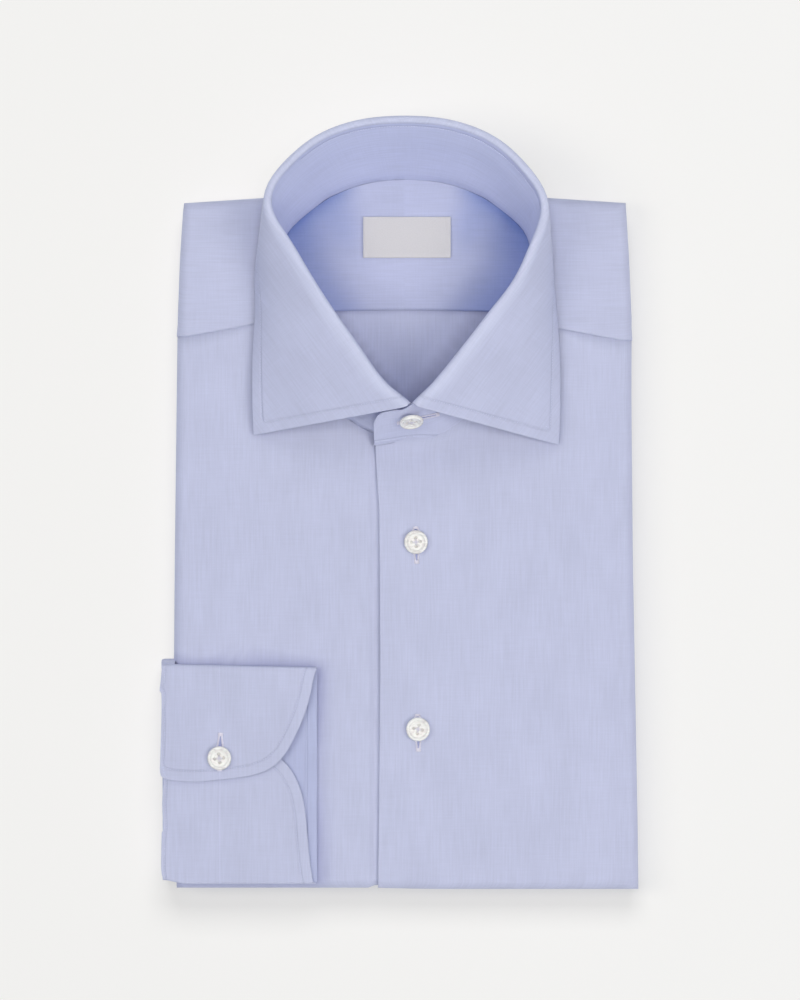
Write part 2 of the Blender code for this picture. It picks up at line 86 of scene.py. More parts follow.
def finish(look, values):
    """Sets or joins sockets of the material's own shader."""
    feed(look, look.node_tree.nodes["Principled BSDF"], values)


def new_look(name, values):
    look = bpy.data.materials.new(name)
    look.use_nodes = True
    finish(look, values)
    return look


def add_piece(name, cut, look):
    """Makes a piece of the cut mesh and its material."""
    data = bpy.data.meshes.new(name)
    cut.to_mesh(data)
    cut.free()
    data.materials.append(look)
    piece = bpy.data.objects.new(name, data)
    bpy.context.scene.collection.objects.link(piece)
    return piece


def add_light(name, place, size, power, color):
    lamp = bpy.data.lights.new(name, "AREA")
    lamp.shape = "RECTANGLE"
    lamp.size, lamp.size_y = size
    lamp.energy = power
    lamp.color = color
    light = bpy.data.objects.new(name, lamp)
    bpy.context.scene.collection.objects.link(light)
    light.location = place
    light.rotation_euler = (Vector() - Vector(place)).to_track_quat("-Z", "Y").to_euler()
    return light


camera = bpy.data.objects.new("overhead_camera", bpy.data.cameras.new("overhead_camera"))
bpy.context.scene.collection.objects.link(camera)
camera.location = CAMERA
camera.data.sensor_width = SENSOR
camera.data.lens = SENSOR * TO_FACE / VIEW_LENGTH
camera.data.clip_end = 20.0
bpy.context.scene.camera = camera
bpy.context.scene.view_settings.view_transform = "Standard"

table_look = new_look("pale_table", {"Base Color": TABLE_COLOR, "Roughness": 0.9,
                                     "Emission Color": GLOW_COLOR})
table_place = add_node(table_look, "TexCoord", {})
table_axes = add_node(table_look, "SeparateXYZ", {"Vector": table_place.outputs["Object"]})
# painted light: the table's glow, brighter to the right and away from the head
glow = add_node(table_look, "Math", {0: table_axes.outputs["X"], 1: GLOW_RIGHT, 2: TABLE_GLOW},
                operation="MULTIPLY_ADD")
glow = add_node(table_look, "Math", {0: table_axes.outputs["Y"], 1: GLOW_HEAD,
                                     2: glow.outputs[0]}, operation="MULTIPLY_ADD")
finish(table_look, {"Emission Strength": glow.outputs[0]})
table_mesh = bmesh.new()
bmesh.ops.create_grid(table_mesh, x_segments=2, y_segments=2, size=TABLE_HALF)
table = add_piece("table", table_mesh, table_look)

for name, place, size, power, color, held in SOFT_BOXES:
    light = add_light(name, place, size, power, color)
    if held:
        flag = bpy.data.collections.new(name + "_flag")
        flag.objects.link(table)
        flag.collection_objects[0].light_linking.link_state = held
        light.light_linking.receiver_collection = flag
world = bpy.data.worlds.new("studio")
bpy.context.scene.world = world
world.use_nodes = True
world.node_tree.nodes["Background"].inputs["Color"].default_value = SKY_COLOR
world.node_tree.nodes["Background"].inputs["Strength"].default_value = SKY_STRENGTH

# ---- Fronts --------------------------------------------------------------------------
# Two cotton poplin panels, folded under at the sides and the hem. The wearer's left one
# lies over the right one; its front edge is turned under instead of having a placket strip.
MM = 0.001
TOP = 17.4              # the face of the folded shirt above the table
LIP_Z = 7.2             # where a panel's turned edge ends under the fold
LIP = 2.5               # how far that edge reaches in
CLOTH = 0.55            # how thick the shown cloth is
NECK_MID = Vector((3.0, 92.0))
PILE_MID = (2.9, -17.0)
PILE_HALF = (108.5, 163.0)
FOLD_STEPS = 12         # round each side fold
NECK_DROP = 4.8         # how much lower the face lies behind the collar
PLACKET_X = -10.4
PLACKET_BEND = ((-181.0, 0.0), (-142.0, 0.4), (-86.0, 0.9), (-44.0, 0.8), (-2.0, 0.4),
                (12.0, -0.6), (28.0, -1.4), (60.0, -1.4))    # y, how far its line strays in x
FRONT_TOP_Y = 31.4      # where the fronts' middle lines begin, at the collar
UNDER_X = 18.0          # how far the right front reaches under the left
UNDER_DIP = 1.3
HEM_Y = -180.6
HEAD_Y = 149.6          # the fold behind the collar, at the middle
COLLAR_LIFT = 10.4      # how much further that fold reaches behind the collar
BODY_EDGES = (          # y, wearer's right edge, wearer's left edge
    (-180.6, -105.5, 112.6),
    (-148.0, -106.3, 112.2),
    (-92.0, -106.9, 111.2),
    (-26.0, -106.4, 110.0),
    (49.0, -105.5, 109.3),
    (88.0, -105.0, 109.4),
    (117.0, -103.9, 108.2),
    (143.0, -102.2, 106.6),
)
SEAM_RIGHT = (Vector((-54.5, 88.4)), Vector((-105.0, 80.5)))
SEAM_LEFT = (Vector((60.5, 86.6)), Vector((109.4, 78.6)))
# half collar, front to back: neckline half width, y | roll half width, middle, y, z |
# leaf edge half width, y, z
COLLAR = (
    (0.0, 31.0, 1.9, 5.3, 47.6, 42.8, 71.5, 33.0, 19.4),
    (16.0, 32.5, 12.9, 4.4, 59.3, 43.0, 72.1, 43.0, 20.4),
    (31.0, 43.0, 24.2, 5.1, 74.4, 43.2, 72.2, 54.5, 20.8),
    (44.0, 60.0, 35.8, 5.6, 90.2, 43.5, 72.0, 67.0, 20.8),
    (53.0, 80.0, 46.0, 6.4, 104.6, 43.9, 71.4, 80.0, 20.4),
    (58.5, 102.0, 54.7, 5.6, 121.2, 44.3, 70.2, 94.0, 20.0),
    (58.0, 123.0, 61.8, 4.2, 138.0, 44.7, 68.8, 112.0, 19.6),
    (50.5, 135.0, 60.0, 2.8, 148.2, 45.0, 67.0, 134.0, 19.4),
    (38.0, 143.8, 55.2, 2.2, 155.4, 45.2, 62.6, 151.0, 17.0),
    (30.5, 147.8, 45.6, 2.1, 165.4, 45.3, 53.5, 158.6, 11.0),
    (22.0, 150.8, 33.5, 2.0, 172.6, 45.4, 41.0, 164.5, 4.6),
    (11.5, 152.9, 17.5, 2.1, 177.2, 45.5, 22.0, 170.5, 3.4),
    (0.0, 153.5, 0.0, 2.3, 178.5, 45.5, 0.0, 172.5, 3.0),
)
# the left front runs up into the collar band along this line, right to left: x, y
BAND_FOOT = ((-12.2, 28.0), (3.0, 30.9), (10.9, 31.6), (18.8, 32.5), (25.2, 35.7),
             (31.1, 40.0), (36.6, 45.3), (41.9, 51.4))
FRONT_BUTTONS_Y = (-17.3, -105.4)
CUFF_HAND_X = -39.0     # the folded cuff's corner on the right front
CUFF_HEAD_Y = -77.0
BLUE = (0.535, 0.560, 0.742)
# the colour of a painted shadow, mixed into the right front beside the cuff
BLUE_SHADED = (0.36, 0.378, 0.585)
WARP = (1300.0, 55.0, 4.0)      # noise across the yarns, along them, detail
WEFT = (70.0, 1400.0, 4.0)
BLOTCHES = (60.0, 30.0, 2.0)
PUCKERS = (420.0, 60.0, 2.0)
STREAK = 0.038          # how much the yarns' colour wanders
YARN_PITCH = 620.0


def smooth(low, high, x):
    t = min(1.0, max(0.0, (x - low) / (high - low)))
    return t * t * (3 - 2 * t)


def bell(x, middle, width):
    return math.exp(-((x - middle) / width) ** 2)


def between(rows, y, column):
    """A table's value at y, in straight lines between its rows."""
    y = min(max(y, rows[0][0]), rows[-1][0])
    for low, high in zip(rows, rows[1:]):
        if y <= high[0]:
            return low[column] + (y - low[0]) / (high[0] - low[0]) * (high[column] - low[column])
    return rows[-1][column]


def spread(points, count):
    """So many even points along a line."""
    lengths = [(b - a).length for a, b in zip(points, points[1:])]
    total = sum(lengths)
    found = []
    k = 0
    passed = 0.0
    for step in range(count):
        want = total * step / (count - 1)
        while k < len(lengths) - 1 and passed + lengths[k] < want:
            passed += lengths[k]
            k += 1
        found.append(points[k].lerp(points[k + 1], min(1.0, (want - passed) / lengths[k])))
    return found


def run_along(points, unit=1.0):
    """How far along its line each point lies."""
    run = [0.0]
    for a, b in zip(points, points[1:]):
        run.append(run[-1] + (b - a).length * unit)
    return run


def through(rows, steps):
    """Smooth values through a table's rows."""
    found = []
    for k in range(len(rows) - 1):
        around = (rows[max(k - 1, 0)], rows[k], rows[k + 1], rows[min(k + 2, len(rows) - 1)])
        for step in range(steps):
            t = step / steps
            found.append([0.5 * (2 * b + (c - a) * t + (2 * a - 5 * b + 4 * c - d) * t * t
                                 + (3 * b - a - 3 * c + d) * t ** 3)
                          for a, b, c, d in zip(*around)])
    found.append(list(rows[-1]))
    return found


def head_edge(x):
    """The fold behind the collar: it slopes off to the shoulders."""
    away = abs(x - NECK_MID.x)
    return HEAD_Y - 0.066 * away + COLLAR_LIFT * (1 - smooth(44, 64, away))


def hem_edge(x):
    return HEM_Y - 0.6 * smooth(-20, 20, x)


def face_height(x, y):
    """The face of the folded shirt, which drops behind the collar."""
    near = 1 - smooth(40, 66, abs(x - NECK_MID.x))
    return TOP - NECK_DROP * near * smooth(105, 140, y)


def inset(point, distance):
    """A point of the outline moved in, straight across except near the corners."""
    x = (point.x - PILE_MID[0]) / PILE_HALF[0]
    y = (point.y - PILE_MID[1]) / PILE_HALF[1]
    return Vector((point.x - distance * x * abs(x) ** 2, point.y - distance * y * abs(y) ** 5))


def side_points(column, low, high, count):
    ys = [low + (high - low) * k / count for k in range(count + 1)]
    return [Vector((between(BODY_EDGES, y, column), y)) for y in ys]


def across_points(start, end, count, edge):
    """Points of the hem's or the head's fold, from one side on."""
    xs = [start + (end - start) * k / count for k in range(count + 1)]
    return [Vector((x, edge(x))) for x in xs]


def neck_line(side, steps):
    return [Vector((NECK_MID.x + side * half, y))
            for half, y in through([row[:2] for row in COLLAR], steps)]


def in_from_neck(points, distance):
    return [p + (NECK_MID - p).normalized() * distance for p in points]


def swell(x, y, size, length, seed):
    """Slow uneven rise and fall of cloth that has lain folded."""
    return size * noise.noise(Vector((x / length, y / length, seed)))


def shirting(name, color, warp="v", seam=None, crease=None, puckers=0.0, deep=None):
    """Two-tone cotton poplin: fine white and blue yarns, slightly uneven, matt with a bloom.

    warp is which way the long yarns run on the "cloth" map. seam is how far a row of
    stitching lies from the edge, on the "seam" map; its groove is darkened as painted shade.
    crease is where a line was pressed in, on the "cloth" map; it is lightened as a painted
    highlight. deep is a colour of painted light, mixed in as the "nook" attribute rises to 1:
    painted shade on most pieces, a painted highlight on the collar leaf.
    """
    look = new_look(name, {"Roughness": 0.82, "Sheen Weight": 0.12, "Sheen Roughness": 0.5,
                           "Specular IOR Level": 0.25})
    cloth_map = add_node(look, "UVMap", {}, uv_map="cloth").outputs["UV"]

    def yarns(across, along, detail):
        scale = (across, along, 1.0) if warp == "v" else (along, across, 1.0)
        turn = add_node(look, "Mapping", {"Vector": cloth_map, "Scale": scale})
        return add_node(look, "TexNoise", {"Vector": turn.outputs["Vector"], "Scale": 1.0,
                                           "Detail": detail}).outputs["Fac"]

    def ramp(value, low, high):
        return add_node(look, "MapRange", {"Value": value, "From Min": 0.3, "From Max": 0.7,
                                           "To Min": low, "To Max": high}).outputs["Result"]

    def times(first, second):
        return add_node(look, "Math", {0: first, 1: second}, operation="MULTIPLY").outputs[0]

    def wave(direction):
        return add_node(look, "TexWave", {"Vector": cloth_map, "Scale": YARN_PITCH,
                                          "Distortion": 1.2, "Detail": 1.0},
                        bands_direction=direction).outputs["Fac"]

    def bump(height, distance, strength, **under):
        return add_node(look, "Bump", {"Height": height, "Distance": abs(distance),
                                       "Strength": strength, **under},
                        invert=distance < 0).outputs["Normal"]

    def pressed(source_map, at, width, depth, tone, normal):
        """A line sunk into the cloth and darkened as painted shade, or raised where depth is
        negative and lightened as a painted highlight.
        """
        lines = add_node(look, "UVMap", {}, uv_map=source_map)
        split = add_node(look, "SeparateXYZ", {"Vector": lines.outputs["UV"]})
        away = add_node(look, "Math", {0: split.outputs["X"], 1: at}, operation="SUBTRACT")
        apart = add_node(look, "Math", {0: away.outputs[0]}, operation="ABSOLUTE")
        groove = add_node(look, "MapRange", {"Value": apart.outputs[0], "From Min": 0.0,
                                             "From Max": width},
                          interpolation_type="SMOOTHSTEP").outputs["Result"]
        # painted shade in a sunk line, 3 % darker; a painted highlight on a raised one, 6 %
        # lighter
        shade = add_node(look, "MapRange", {"Value": groove, "To Max": 1.0,
                                            "To Min": 0.97 if depth > 0 else 1.06})
        return times(tone, shade.outputs["Result"]), bump(groove, depth, 0.9, Normal=normal)

    tone = times(ramp(yarns(*WARP), 1 - STREAK, 1 + STREAK),
                 ramp(yarns(*WEFT), 1 - 0.5 * STREAK, 1 + 0.5 * STREAK))
    tone = times(tone, ramp(yarns(*BLOTCHES), 0.972, 1.028))
    normal = bump(times(wave("X"), wave("Y")), 0.00004, 0.25)
    if seam is not None:
        tone, normal = pressed("seam", seam, 0.0009, 0.0003, tone, normal)
    if crease is not None:
        tone, normal = pressed("cloth", crease, 0.0006, -0.0001, tone, normal)
    if puckers:
        normal = bump(yarns(*PUCKERS), 0.0003, puckers, Normal=normal)
    # painted light: where the attribute rises, the deep colour is mixed into the cloth's own
    # colour
    dye_and_painted_light = color
    if deep:
        painted_share = add_node(look, "Attribute", {}, attribute_name="painted_light")
        dye_and_painted_light = add_node(look, "Mix", {0: painted_share.outputs["Fac"], 6: (*color, 1.0),
                                     7: (*deep, 1.0)}, data_type="RGBA").outputs[2]
    tint = add_node(look, "VectorMath", {0: dye_and_painted_light, "Scale": tone}, operation="SCALE")
    finish(look, {"Base Color": tint.outputs["Vector"], "Normal": normal})
    return look


def tight_rim(rows, gap=0.3):
    """The same rows with points added close inside all four edges, so edges stay crisp."""
    def ended(line):
        first = line[0] + (line[1] - line[0]).normalized() * gap
        final = line[-1] + (line[-2] - line[-1]).normalized() * gap
        return [line[0], first] + line[1:-1] + [final, line[-1]]

    wide = [ended(row) for row in rows]
    columns = [ended([row[j] for row in wide]) for j in range(len(wide[0]))]
    return [[column[i] for column in columns] for i in range(len(columns[0]))]


def grid_cut(down, over, point, painted_light=None):
    """A grid laid on point(row, column) in millimetres, and each corner's row and column.

    nook(point) goes into the "nook" attribute, which sets how much of a material's deep tint, its
    painted light or shade, is mixed in.
    """
    cut = bmesh.new()
    bmesh.ops.create_grid(cut, x_segments=down, y_segments=over, size=1.0)
    depth = cut.verts.layers.float.new("painted_light") if painted_light else None
    spots = {}
    for vertex in cut.verts:
        i = round((vertex.co.x + 1) / 2 * down)
        j = round((vertex.co.y + 1) / 2 * over)
        spots[vertex] = (i, j)
        vertex.co = point(i, j) * MM
        if painted_light:
            vertex[depth] = painted_light(point(i, j))
    return cut, spots


def add_wall(piece, thick, side):
    wall = piece.modifiers.new("wall", "SOLIDIFY")
    wall.thickness = thick * MM
    wall.offset = side


def lay_cloth(name, rows, thick, side, look, up, edge_gap=None, grain=None, painted_light=None):
    """A cloth piece from rows of points in millimetres, with its wall and its maps.

    The "cloth" map is in metres of cloth, along the rows or as grain(point) gives it. The
    "seam" map holds how far a point is from the piece's sewn edge, where edge_gap(row,
    column) gives that in millimetres.
    """
    down, over = len(rows) - 1, len(rows[0]) - 1
    cut, spots = grid_cut(down, over, lambda i, j: rows[i][j], painted_light)
    across = run_along(rows[down // 2], MM)
    along = run_along([row[over // 2] for row in rows], MM)
    cloth_map = cut.loops.layers.uv.new("cloth")
    seam_map = cut.loops.layers.uv.new("seam")
    for face in cut.faces:
        face.smooth = True
        for loop in face.loops:
            i, j = spots[loop.vert]
            loop[cloth_map].uv = grain(rows[i][j]) if grain else (along[i], across[j])
            far = edge_gap(i, j) * MM if edge_gap else 1.0
            loop[seam_map].uv = (far, along[i])
    cut.normal_update()
    if sum(face.normal.dot(Vector(up)) * face.calc_area() for face in cut.faces) < 0:
        bmesh.ops.reverse_faces(cut, faces=cut.faces)
    piece = add_piece(name, cut, look)
    add_wall(piece, thick, side)
    return piece


def body_rows(inner, outer, flat, rise, sink=lambda x, y: 0.0):
    """Points of a body panel from its inner line over the face and round the fold."""
    rows = []
    for start, edge in zip(inner, outer):
        deep = sink(edge.x, edge.y)
        low = LIP_Z + deep
        radius = (face_height(edge.x, edge.y) - deep - low) / 2
        turn = inset(edge, deep + radius)
        row = []
        for t in flat:
            spot = start.lerp(turn, t)
            height = face_height(spot.x, spot.y) - sink(spot.x, spot.y)
            row.append(Vector((spot.x, spot.y, height + rise(spot.x, spot.y))))
        for k in range(1, FOLD_STEPS + 1):
            angle = math.pi * k / FOLD_STEPS
            spot = inset(edge, deep + radius - radius * math.sin(angle))
            row.append(Vector((spot.x, spot.y, low + radius + radius * math.cos(angle))))
        spot = inset(edge, deep + radius + LIP)
        row.append(Vector((spot.x, spot.y, low)))
        rows.append(row)
    return rows


def front_lines(side, first_xs, seam, column):
    """A front's inner line, along its edge and the neck, and the outline facing it."""
    neck = [p for p in neck_line(side, 6) if p.y < seam[0].y - 0.5]
    limit = first_xs[-1] + side * 1.5
    neck = [p for p in neck if side * p.x > side * limit]
    first = [Vector((x, FRONT_TOP_Y)) for x in first_xs]
    inner = first + spread(neck + [seam[0]], 49)
    start_x = first_xs[-1] + side * 2.5
    corner_x = between(BODY_EDGES, -181.0, column)
    outer = [Vector((x, hem_edge(x))) for x in first_xs]
    outer += across_points(start_x, corner_x, 20, hem_edge)
    return in_from_neck(inner, 0.8), outer + side_points(column, HEM_Y, seam[1].y, 28)[1:]


def under_dip(x, y):
    return UNDER_DIP * smooth(-15.5, -11.3, x)


def right_front_rise(x, y):
    """The right front hollows softly beside the left one's edge."""
    return swell(x, y, 0.35, 46.0, 1.7) - 0.175 * bell(x, -22, 9.0) * smooth(-160, -60, y)


def left_front_rise(x, y):
    """The left front runs softly up into the collar band and dips behind its buttons."""
    apart = min((Vector((x, y)) - p).length for p in band_foot)
    if y > between(BAND_FOOT, x, 1):
        apart = -min(apart, 3.2)
    steep = 1.67 - 0.72 * smooth(3.0, 16.0, x)
    wall = 0.5 * math.sqrt(1 + steep * steep) + 0.5
    reach = 3.6 + 1.8 * smooth(8.0, 18.0, x)
    curl = steep * steep / (4 * (steep * reach - wall))
    into_band = (curl * max(0.0, reach - apart) ** 2 - 0.1) * smooth(-4.0, 3.0, x)
    into_band = max(0.0, into_band) * (1 - smooth(34.0, 41.0, x))
    into_band -= 0.5 * bell(apart, 9.0, 3.5) * (1 - smooth(26, 36, x))
    lift = 0.5 * bell(y, -50, 26.0) * bell(x, PLACKET_X, 8.0)
    pull = sum(0.3 * bell(x, 8, 11.0) * bell(y, button_y, 13.0) for button_y in FRONT_BUTTONS_Y)
    return swell(x, y, 0.35, 50.0, 5.2) + lift - pull + into_band


def painted_shadow_beside_cuff(p):
    """Painted shadow: 1 on the right front close beside the folded cuff, 0 elsewhere."""
    if p.z < TOP - 4.0:
        return 0.0
    along = smooth(-184.0, -174.0, p.y) * (1 - smooth(-79.0, -70.0, p.y))
    middle = 1.0 - 0.55 * bell(p.y, -128.0, 24.0)
    right = bell(max(0.0, p.x - CUFF_HAND_X), 0.0, 4.5) * along * middle
    above = 0.45 * bell(max(0.0, p.y - CUFF_HEAD_Y), 0.0, 4.5)
    return max(right, above * (1 - smooth(-44.0, -34.0, p.x)))


def body_grain(p):
    """Warp runs up the body; the map goes on round the side folds."""
    return ((p.x + math.copysign(0.8, p.x - 3) * (TOP - p.z)) * MM, (p.y + 0.3 * p.z) * MM)


FLAT = [(k / 36) ** 2 for k in range(37)]
band_foot = spread([Vector(p) for p in BAND_FOOT], 140)
# painted shadow: the fronts' deep tint darkens the right front beside the cuff
front_cloth = shirting("front_poplin", BLUE, puckers=0.04, deep=BLUE_SHADED)

left_inner, left_outer = front_lines(1, [PLACKET_X, -10.0, -8.0, -4.0, 0.0, 4.0], SEAM_LEFT, 2)
for p in left_inner:
    if 0 < p.x < 50 and p.y < 60:
        into_band = 0.9 * smooth(2.0, 6.0, p.x) + 1.4 * smooth(8.0, 18.0, p.x)
        p.y += into_band * 1.15
left_rows = body_rows(left_inner, left_outer, FLAT, left_front_rise)
for row in left_rows:
    for p in row:
        bend = between(PLACKET_BEND, p.y, 1)
        p.x += bend * (1 - smooth(0.0, 26.0, p.x - PLACKET_X))
left_front = lay_cloth("left_front_panel", left_rows, CLOTH, -1, front_cloth, (0, 0, 1),
                       grain=body_grain, painted_light=lambda p: 0.0)
right_xs = [UNDER_X, 8.0, -2.0, -8.0, -11.0, -12.0, -13.0, -14.0, -15.0, -16.5]
right_inner, right_outer = front_lines(-1, right_xs, SEAM_RIGHT, 1)
for p in right_inner:
    if p.y < 60:
        p.y += 3.6 * smooth(-11.0, -14.0, p.x) * smooth(-27.0, -19.0, p.x)
right_rows = body_rows(right_inner, right_outer, FLAT, right_front_rise, under_dip)
right_front = lay_cloth("right_front_panel", right_rows, CLOTH, -1, front_cloth, (0, 0, 1),
                        grain=body_grain, painted_light=painted_shadow_beside_cuff)
for panel, node, cloth_slot in ((left_front, "left_front", "left_front_cloth"),
                                (right_front, "right_front", "right_front_cloth")):
    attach(panel, "root")
    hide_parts(node)

# ---- Yoke ----------------------------------------------------------------------------
# The outer yoke crosses both shoulders, cut with its yarns running side to side. Its front
# edges are turned under and sewn down on the fronts.
YOKE_LAP = 1.1          # how far it lies over the fronts
YOKE_LIFT = 0.32
YOKE_FLAT = [k / 18 for k in range(19)]
HEAD_RIGHT_X = -102.0   # the head fold's ends
HEAD_LEFT_X = 106.6


def yoke_lines():
    up = Vector((0, 0.3))
    right = [p for p in neck_line(-1, 6) if p.y > SEAM_RIGHT[0].y + 0.6]
    left = [p for p in neck_line(1, 6) if p.y > SEAM_LEFT[0].y + 0.6]
    neck = [SEAM_RIGHT[0] + up] + right + list(reversed(left))[1:] + [SEAM_LEFT[0] + up]
    rise = side_points(1, SEAM_RIGHT[1].y + 0.3, head_edge(HEAD_RIGHT_X), 14)
    fall = list(reversed(side_points(2, SEAM_LEFT[1].y + 0.3, head_edge(HEAD_LEFT_X), 14)))
    over = across_points(HEAD_RIGHT_X, HEAD_LEFT_X, 84, head_edge)
    outer = rise[:-1] + over + fall[1:]
    return in_from_neck(spread(neck, len(outer)), -1.5), outer


def lapped(rows, flat_count):
    """The rows with both end edges lapped over their neighbours and slightly raised."""
    done = [[p.copy() for p in row] for row in rows]
    for end in (0, -1):
        lap = []
        for j, p in enumerate(rows[end]):
            turn = math.pi * max(0, min(j - flat_count + 1, FOLD_STEPS)) / FOLD_STEPS
            out = Vector((math.copysign(math.sin(turn), p.x), 0, math.cos(turn))) * YOKE_LIFT
            done[end][j] = p + out
            lap.append(p + out + Vector((0, -YOKE_LAP, 0)))
        done.insert(0 if end == 0 else len(done), lap)
    return done


yoke_inner, yoke_outer = yoke_lines()
yoke_rows = body_rows(yoke_inner, yoke_outer, YOKE_FLAT, lambda x, y: swell(x, y, 0.3, 40.0, 9.1))
yoke_rows = lapped(yoke_rows, len(YOKE_FLAT))
yoke_cloth = shirting("yoke_poplin", BLUE, "h", puckers=0.05)
yoke = lay_cloth("outer_yoke", yoke_rows, CLOTH, -1, yoke_cloth, (0, 0, 1), grain=body_grain)
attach(yoke, "root")
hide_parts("yoke")

# ---- Back and folded layers ----------------------------------------------------------
# The back's inside shows through the neck. Below the fronts lie the rest of the back, the
# left sleeve and the tails, pressed into one flat pile with soft layered edges.
DISH_Z = 8.5            # the back's inside, seen through the neck
CORE_TOP = TOP - 2 * 1.45 - 0.1     # under the fronts
GROOVE_Z = 10.15        # the hollow that takes the fronts' turned edges
CORE_IN = 4.5           # how far the layers under the fronts stay in from the outline
LAYER_IN = 3.6
PILE_HEM_X = (-105.5, 112.6)
PILE_HEAD_X = (106.6, -102.2)
PILE_EDGE = (            # height, how far in from the outline
    (0.0, 3.4), (0.15, 2.2), (0.6, 1.3), (1.2, 1.0), (1.8, 1.4), (2.15, 2.6), (2.3, 3.4),
    (2.45, 2.3), (2.9, 1.5), (3.5, 1.2), (4.1, 1.6), (4.45, 2.6), (4.6, 3.4), (4.75, 2.2),
    (5.2, 1.1), (5.7, 0.9), (6.3, 1.4), (6.6, 2.4), (6.8, 4.0),
)


def pile_outline():
    low = across_points(*PILE_HEM_X, 40, hem_edge)[:-1]
    left = side_points(2, HEM_Y, head_edge(PILE_HEAD_X[0]), 44)[:-1]
    over = across_points(*PILE_HEAD_X, 56, head_edge)[:-1]
    right = list(reversed(side_points(1, HEM_Y, head_edge(PILE_HEAD_X[1]), 44)))[:-1]
    return low + left + over + right


def on_neckline(toward, neck):
    """Where the line from the neck's middle towards a point meets the neckline."""
    way = (toward - NECK_MID).normalized()
    best = max(neck, key=lambda p: (p - NECK_MID).normalized().dot(way))
    return NECK_MID + way * (best - NECK_MID).length


def level(p, z):
    """A height in the pile, pressed lower where the face drops to the neck."""
    share = (face_height(p.x, p.y) - LIP_Z) / (TOP - LIP_Z)
    return z if z < LIP_Z else LIP_Z + (z - LIP_Z) * share


def from_line(p, line):
    return min((p.xy - q).length for q in line)


def painted_shade_under_leaf(p):
    """Painted shade: 1 on the back's inside close under the collar's two sides, 0 elsewhere."""
    right, left = [from_line(p, line) for line in roll_lines]
    shade = max(0.8 * (1 - smooth(0.0, 6.5, right)), 1 - smooth(1.0, 11.5, left))
    return shade * (p.z < 12.0) * (p.y > 35.0)


def pile_rings():
    """Rings from under the pile up its edge, over the top and down into the neck's dish."""
    outline = pile_outline()
    neck = neck_line(-1, 12) + list(reversed(neck_line(1, 12)))[1:-1]
    collar = in_from_neck([on_neckline(p, neck) for p in outline], -1.4)

    def ring(distance, height):
        return [Vector((*inset(p, distance), level(p, height))) for p in outline]

    rings = [ring(60.0, 0.0), ring(12.0, 0.0)] + [ring(far, z) for z, far in PILE_EDGE]
    for z in (6.8, GROOVE_Z):
        hollow = []
        for p in outline:
            spot = inset(p, (face_height(p.x, p.y) - LIP_Z) / 2 + LIP + 1.2)
            hollow.append(Vector((*spot, level(p, z))))
        rings.append(hollow)
    rings += [ring(CORE_IN, GROOVE_Z), ring(LAYER_IN, 11.2), ring(LAYER_IN, 13.4),
              ring(CORE_IN, CORE_TOP)]
    for t in (0.3, 0.65, 0.9, 1.0):
        top = [inset(edge, CORE_IN).lerp(near, t) for edge, near in zip(outline, collar)]
        rings.append([Vector((*spot, level(spot, CORE_TOP))) for spot in top])
    for t in [1.0, 0.985] + [0.95 * (1 - k / 26) for k in range(26)] + [0.0]:
        dish = []
        for near in collar:
            spot = NECK_MID + (near - NECK_MID) * t
            lift = 1.2 * (1 - smooth(0.0, 0.06, 1 - t)) * (1 if t > 0.985 else 0.4)
            dip = swell(spot.x, spot.y, 0.35, 22.0, 3.3) * (1 - smooth(0.8, 1.0, t))
            dish.append(Vector((*spot, DISH_Z + lift + min(dip, 0.3))))
        rings.append(dish)
    return rings


def lay_pile(name, rings, look, painted_light):
    """A closed pile from rings of equal count; its last ring is a single point."""
    count = len(rings[0])
    pile, _ = grid_cut(len(rings) - 1, count, lambda i, j: rings[i][j % count], painted_light)
    bmesh.ops.remove_doubles(pile, verts=pile.verts, dist=1e-6)
    rim = [edge for edge in pile.edges if edge.is_boundary]
    bmesh.ops.holes_fill(pile, edges=rim, sides=0)
    bmesh.ops.recalc_face_normals(pile, faces=pile.faces)
    cloth_map = pile.loops.layers.uv.new("cloth")
    for face in pile.faces:
        face.smooth = True
        for loop in face.loops:
            spot = loop.vert.co
            loop[cloth_map].uv = (spot.x + 0.4 * spot.z, spot.y)
    return add_piece(name, pile, look)


# the collar's roll on the wearer's right and left, seen from above
roll_lines = [[Vector((row[3] + side * row[2], row[4])) for row in through(COLLAR, 3)]
              for side in (-1, 1)]
# painted light: the back's poplin is a lighter blue than the fronts' to brighten it in the neck,
# and its deep tint is painted shade under the collar's two sides
back_cloth = shirting("back_poplin", (0.575, 0.602, 0.787), puckers=0.05,
                      deep=(0.40, 0.42, 0.575))
back = lay_pile("back_and_folded_layers", pile_rings(), back_cloth, painted_shade_under_leaf)
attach(back, "root")
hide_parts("back")

# ---- Inner yoke ----------------------------------------------------------------------
# The second layer of the yoke is turned under along the back's seam and curves up to the
# collar all round.
LINING_Z = 8.9          # the underside of the inner yoke
LINING = 1.1            # how much room its two turned layers take
LINING_SEAM_Y = 91.0
LINING_COUNT = 96       # rows from its right end to its left one


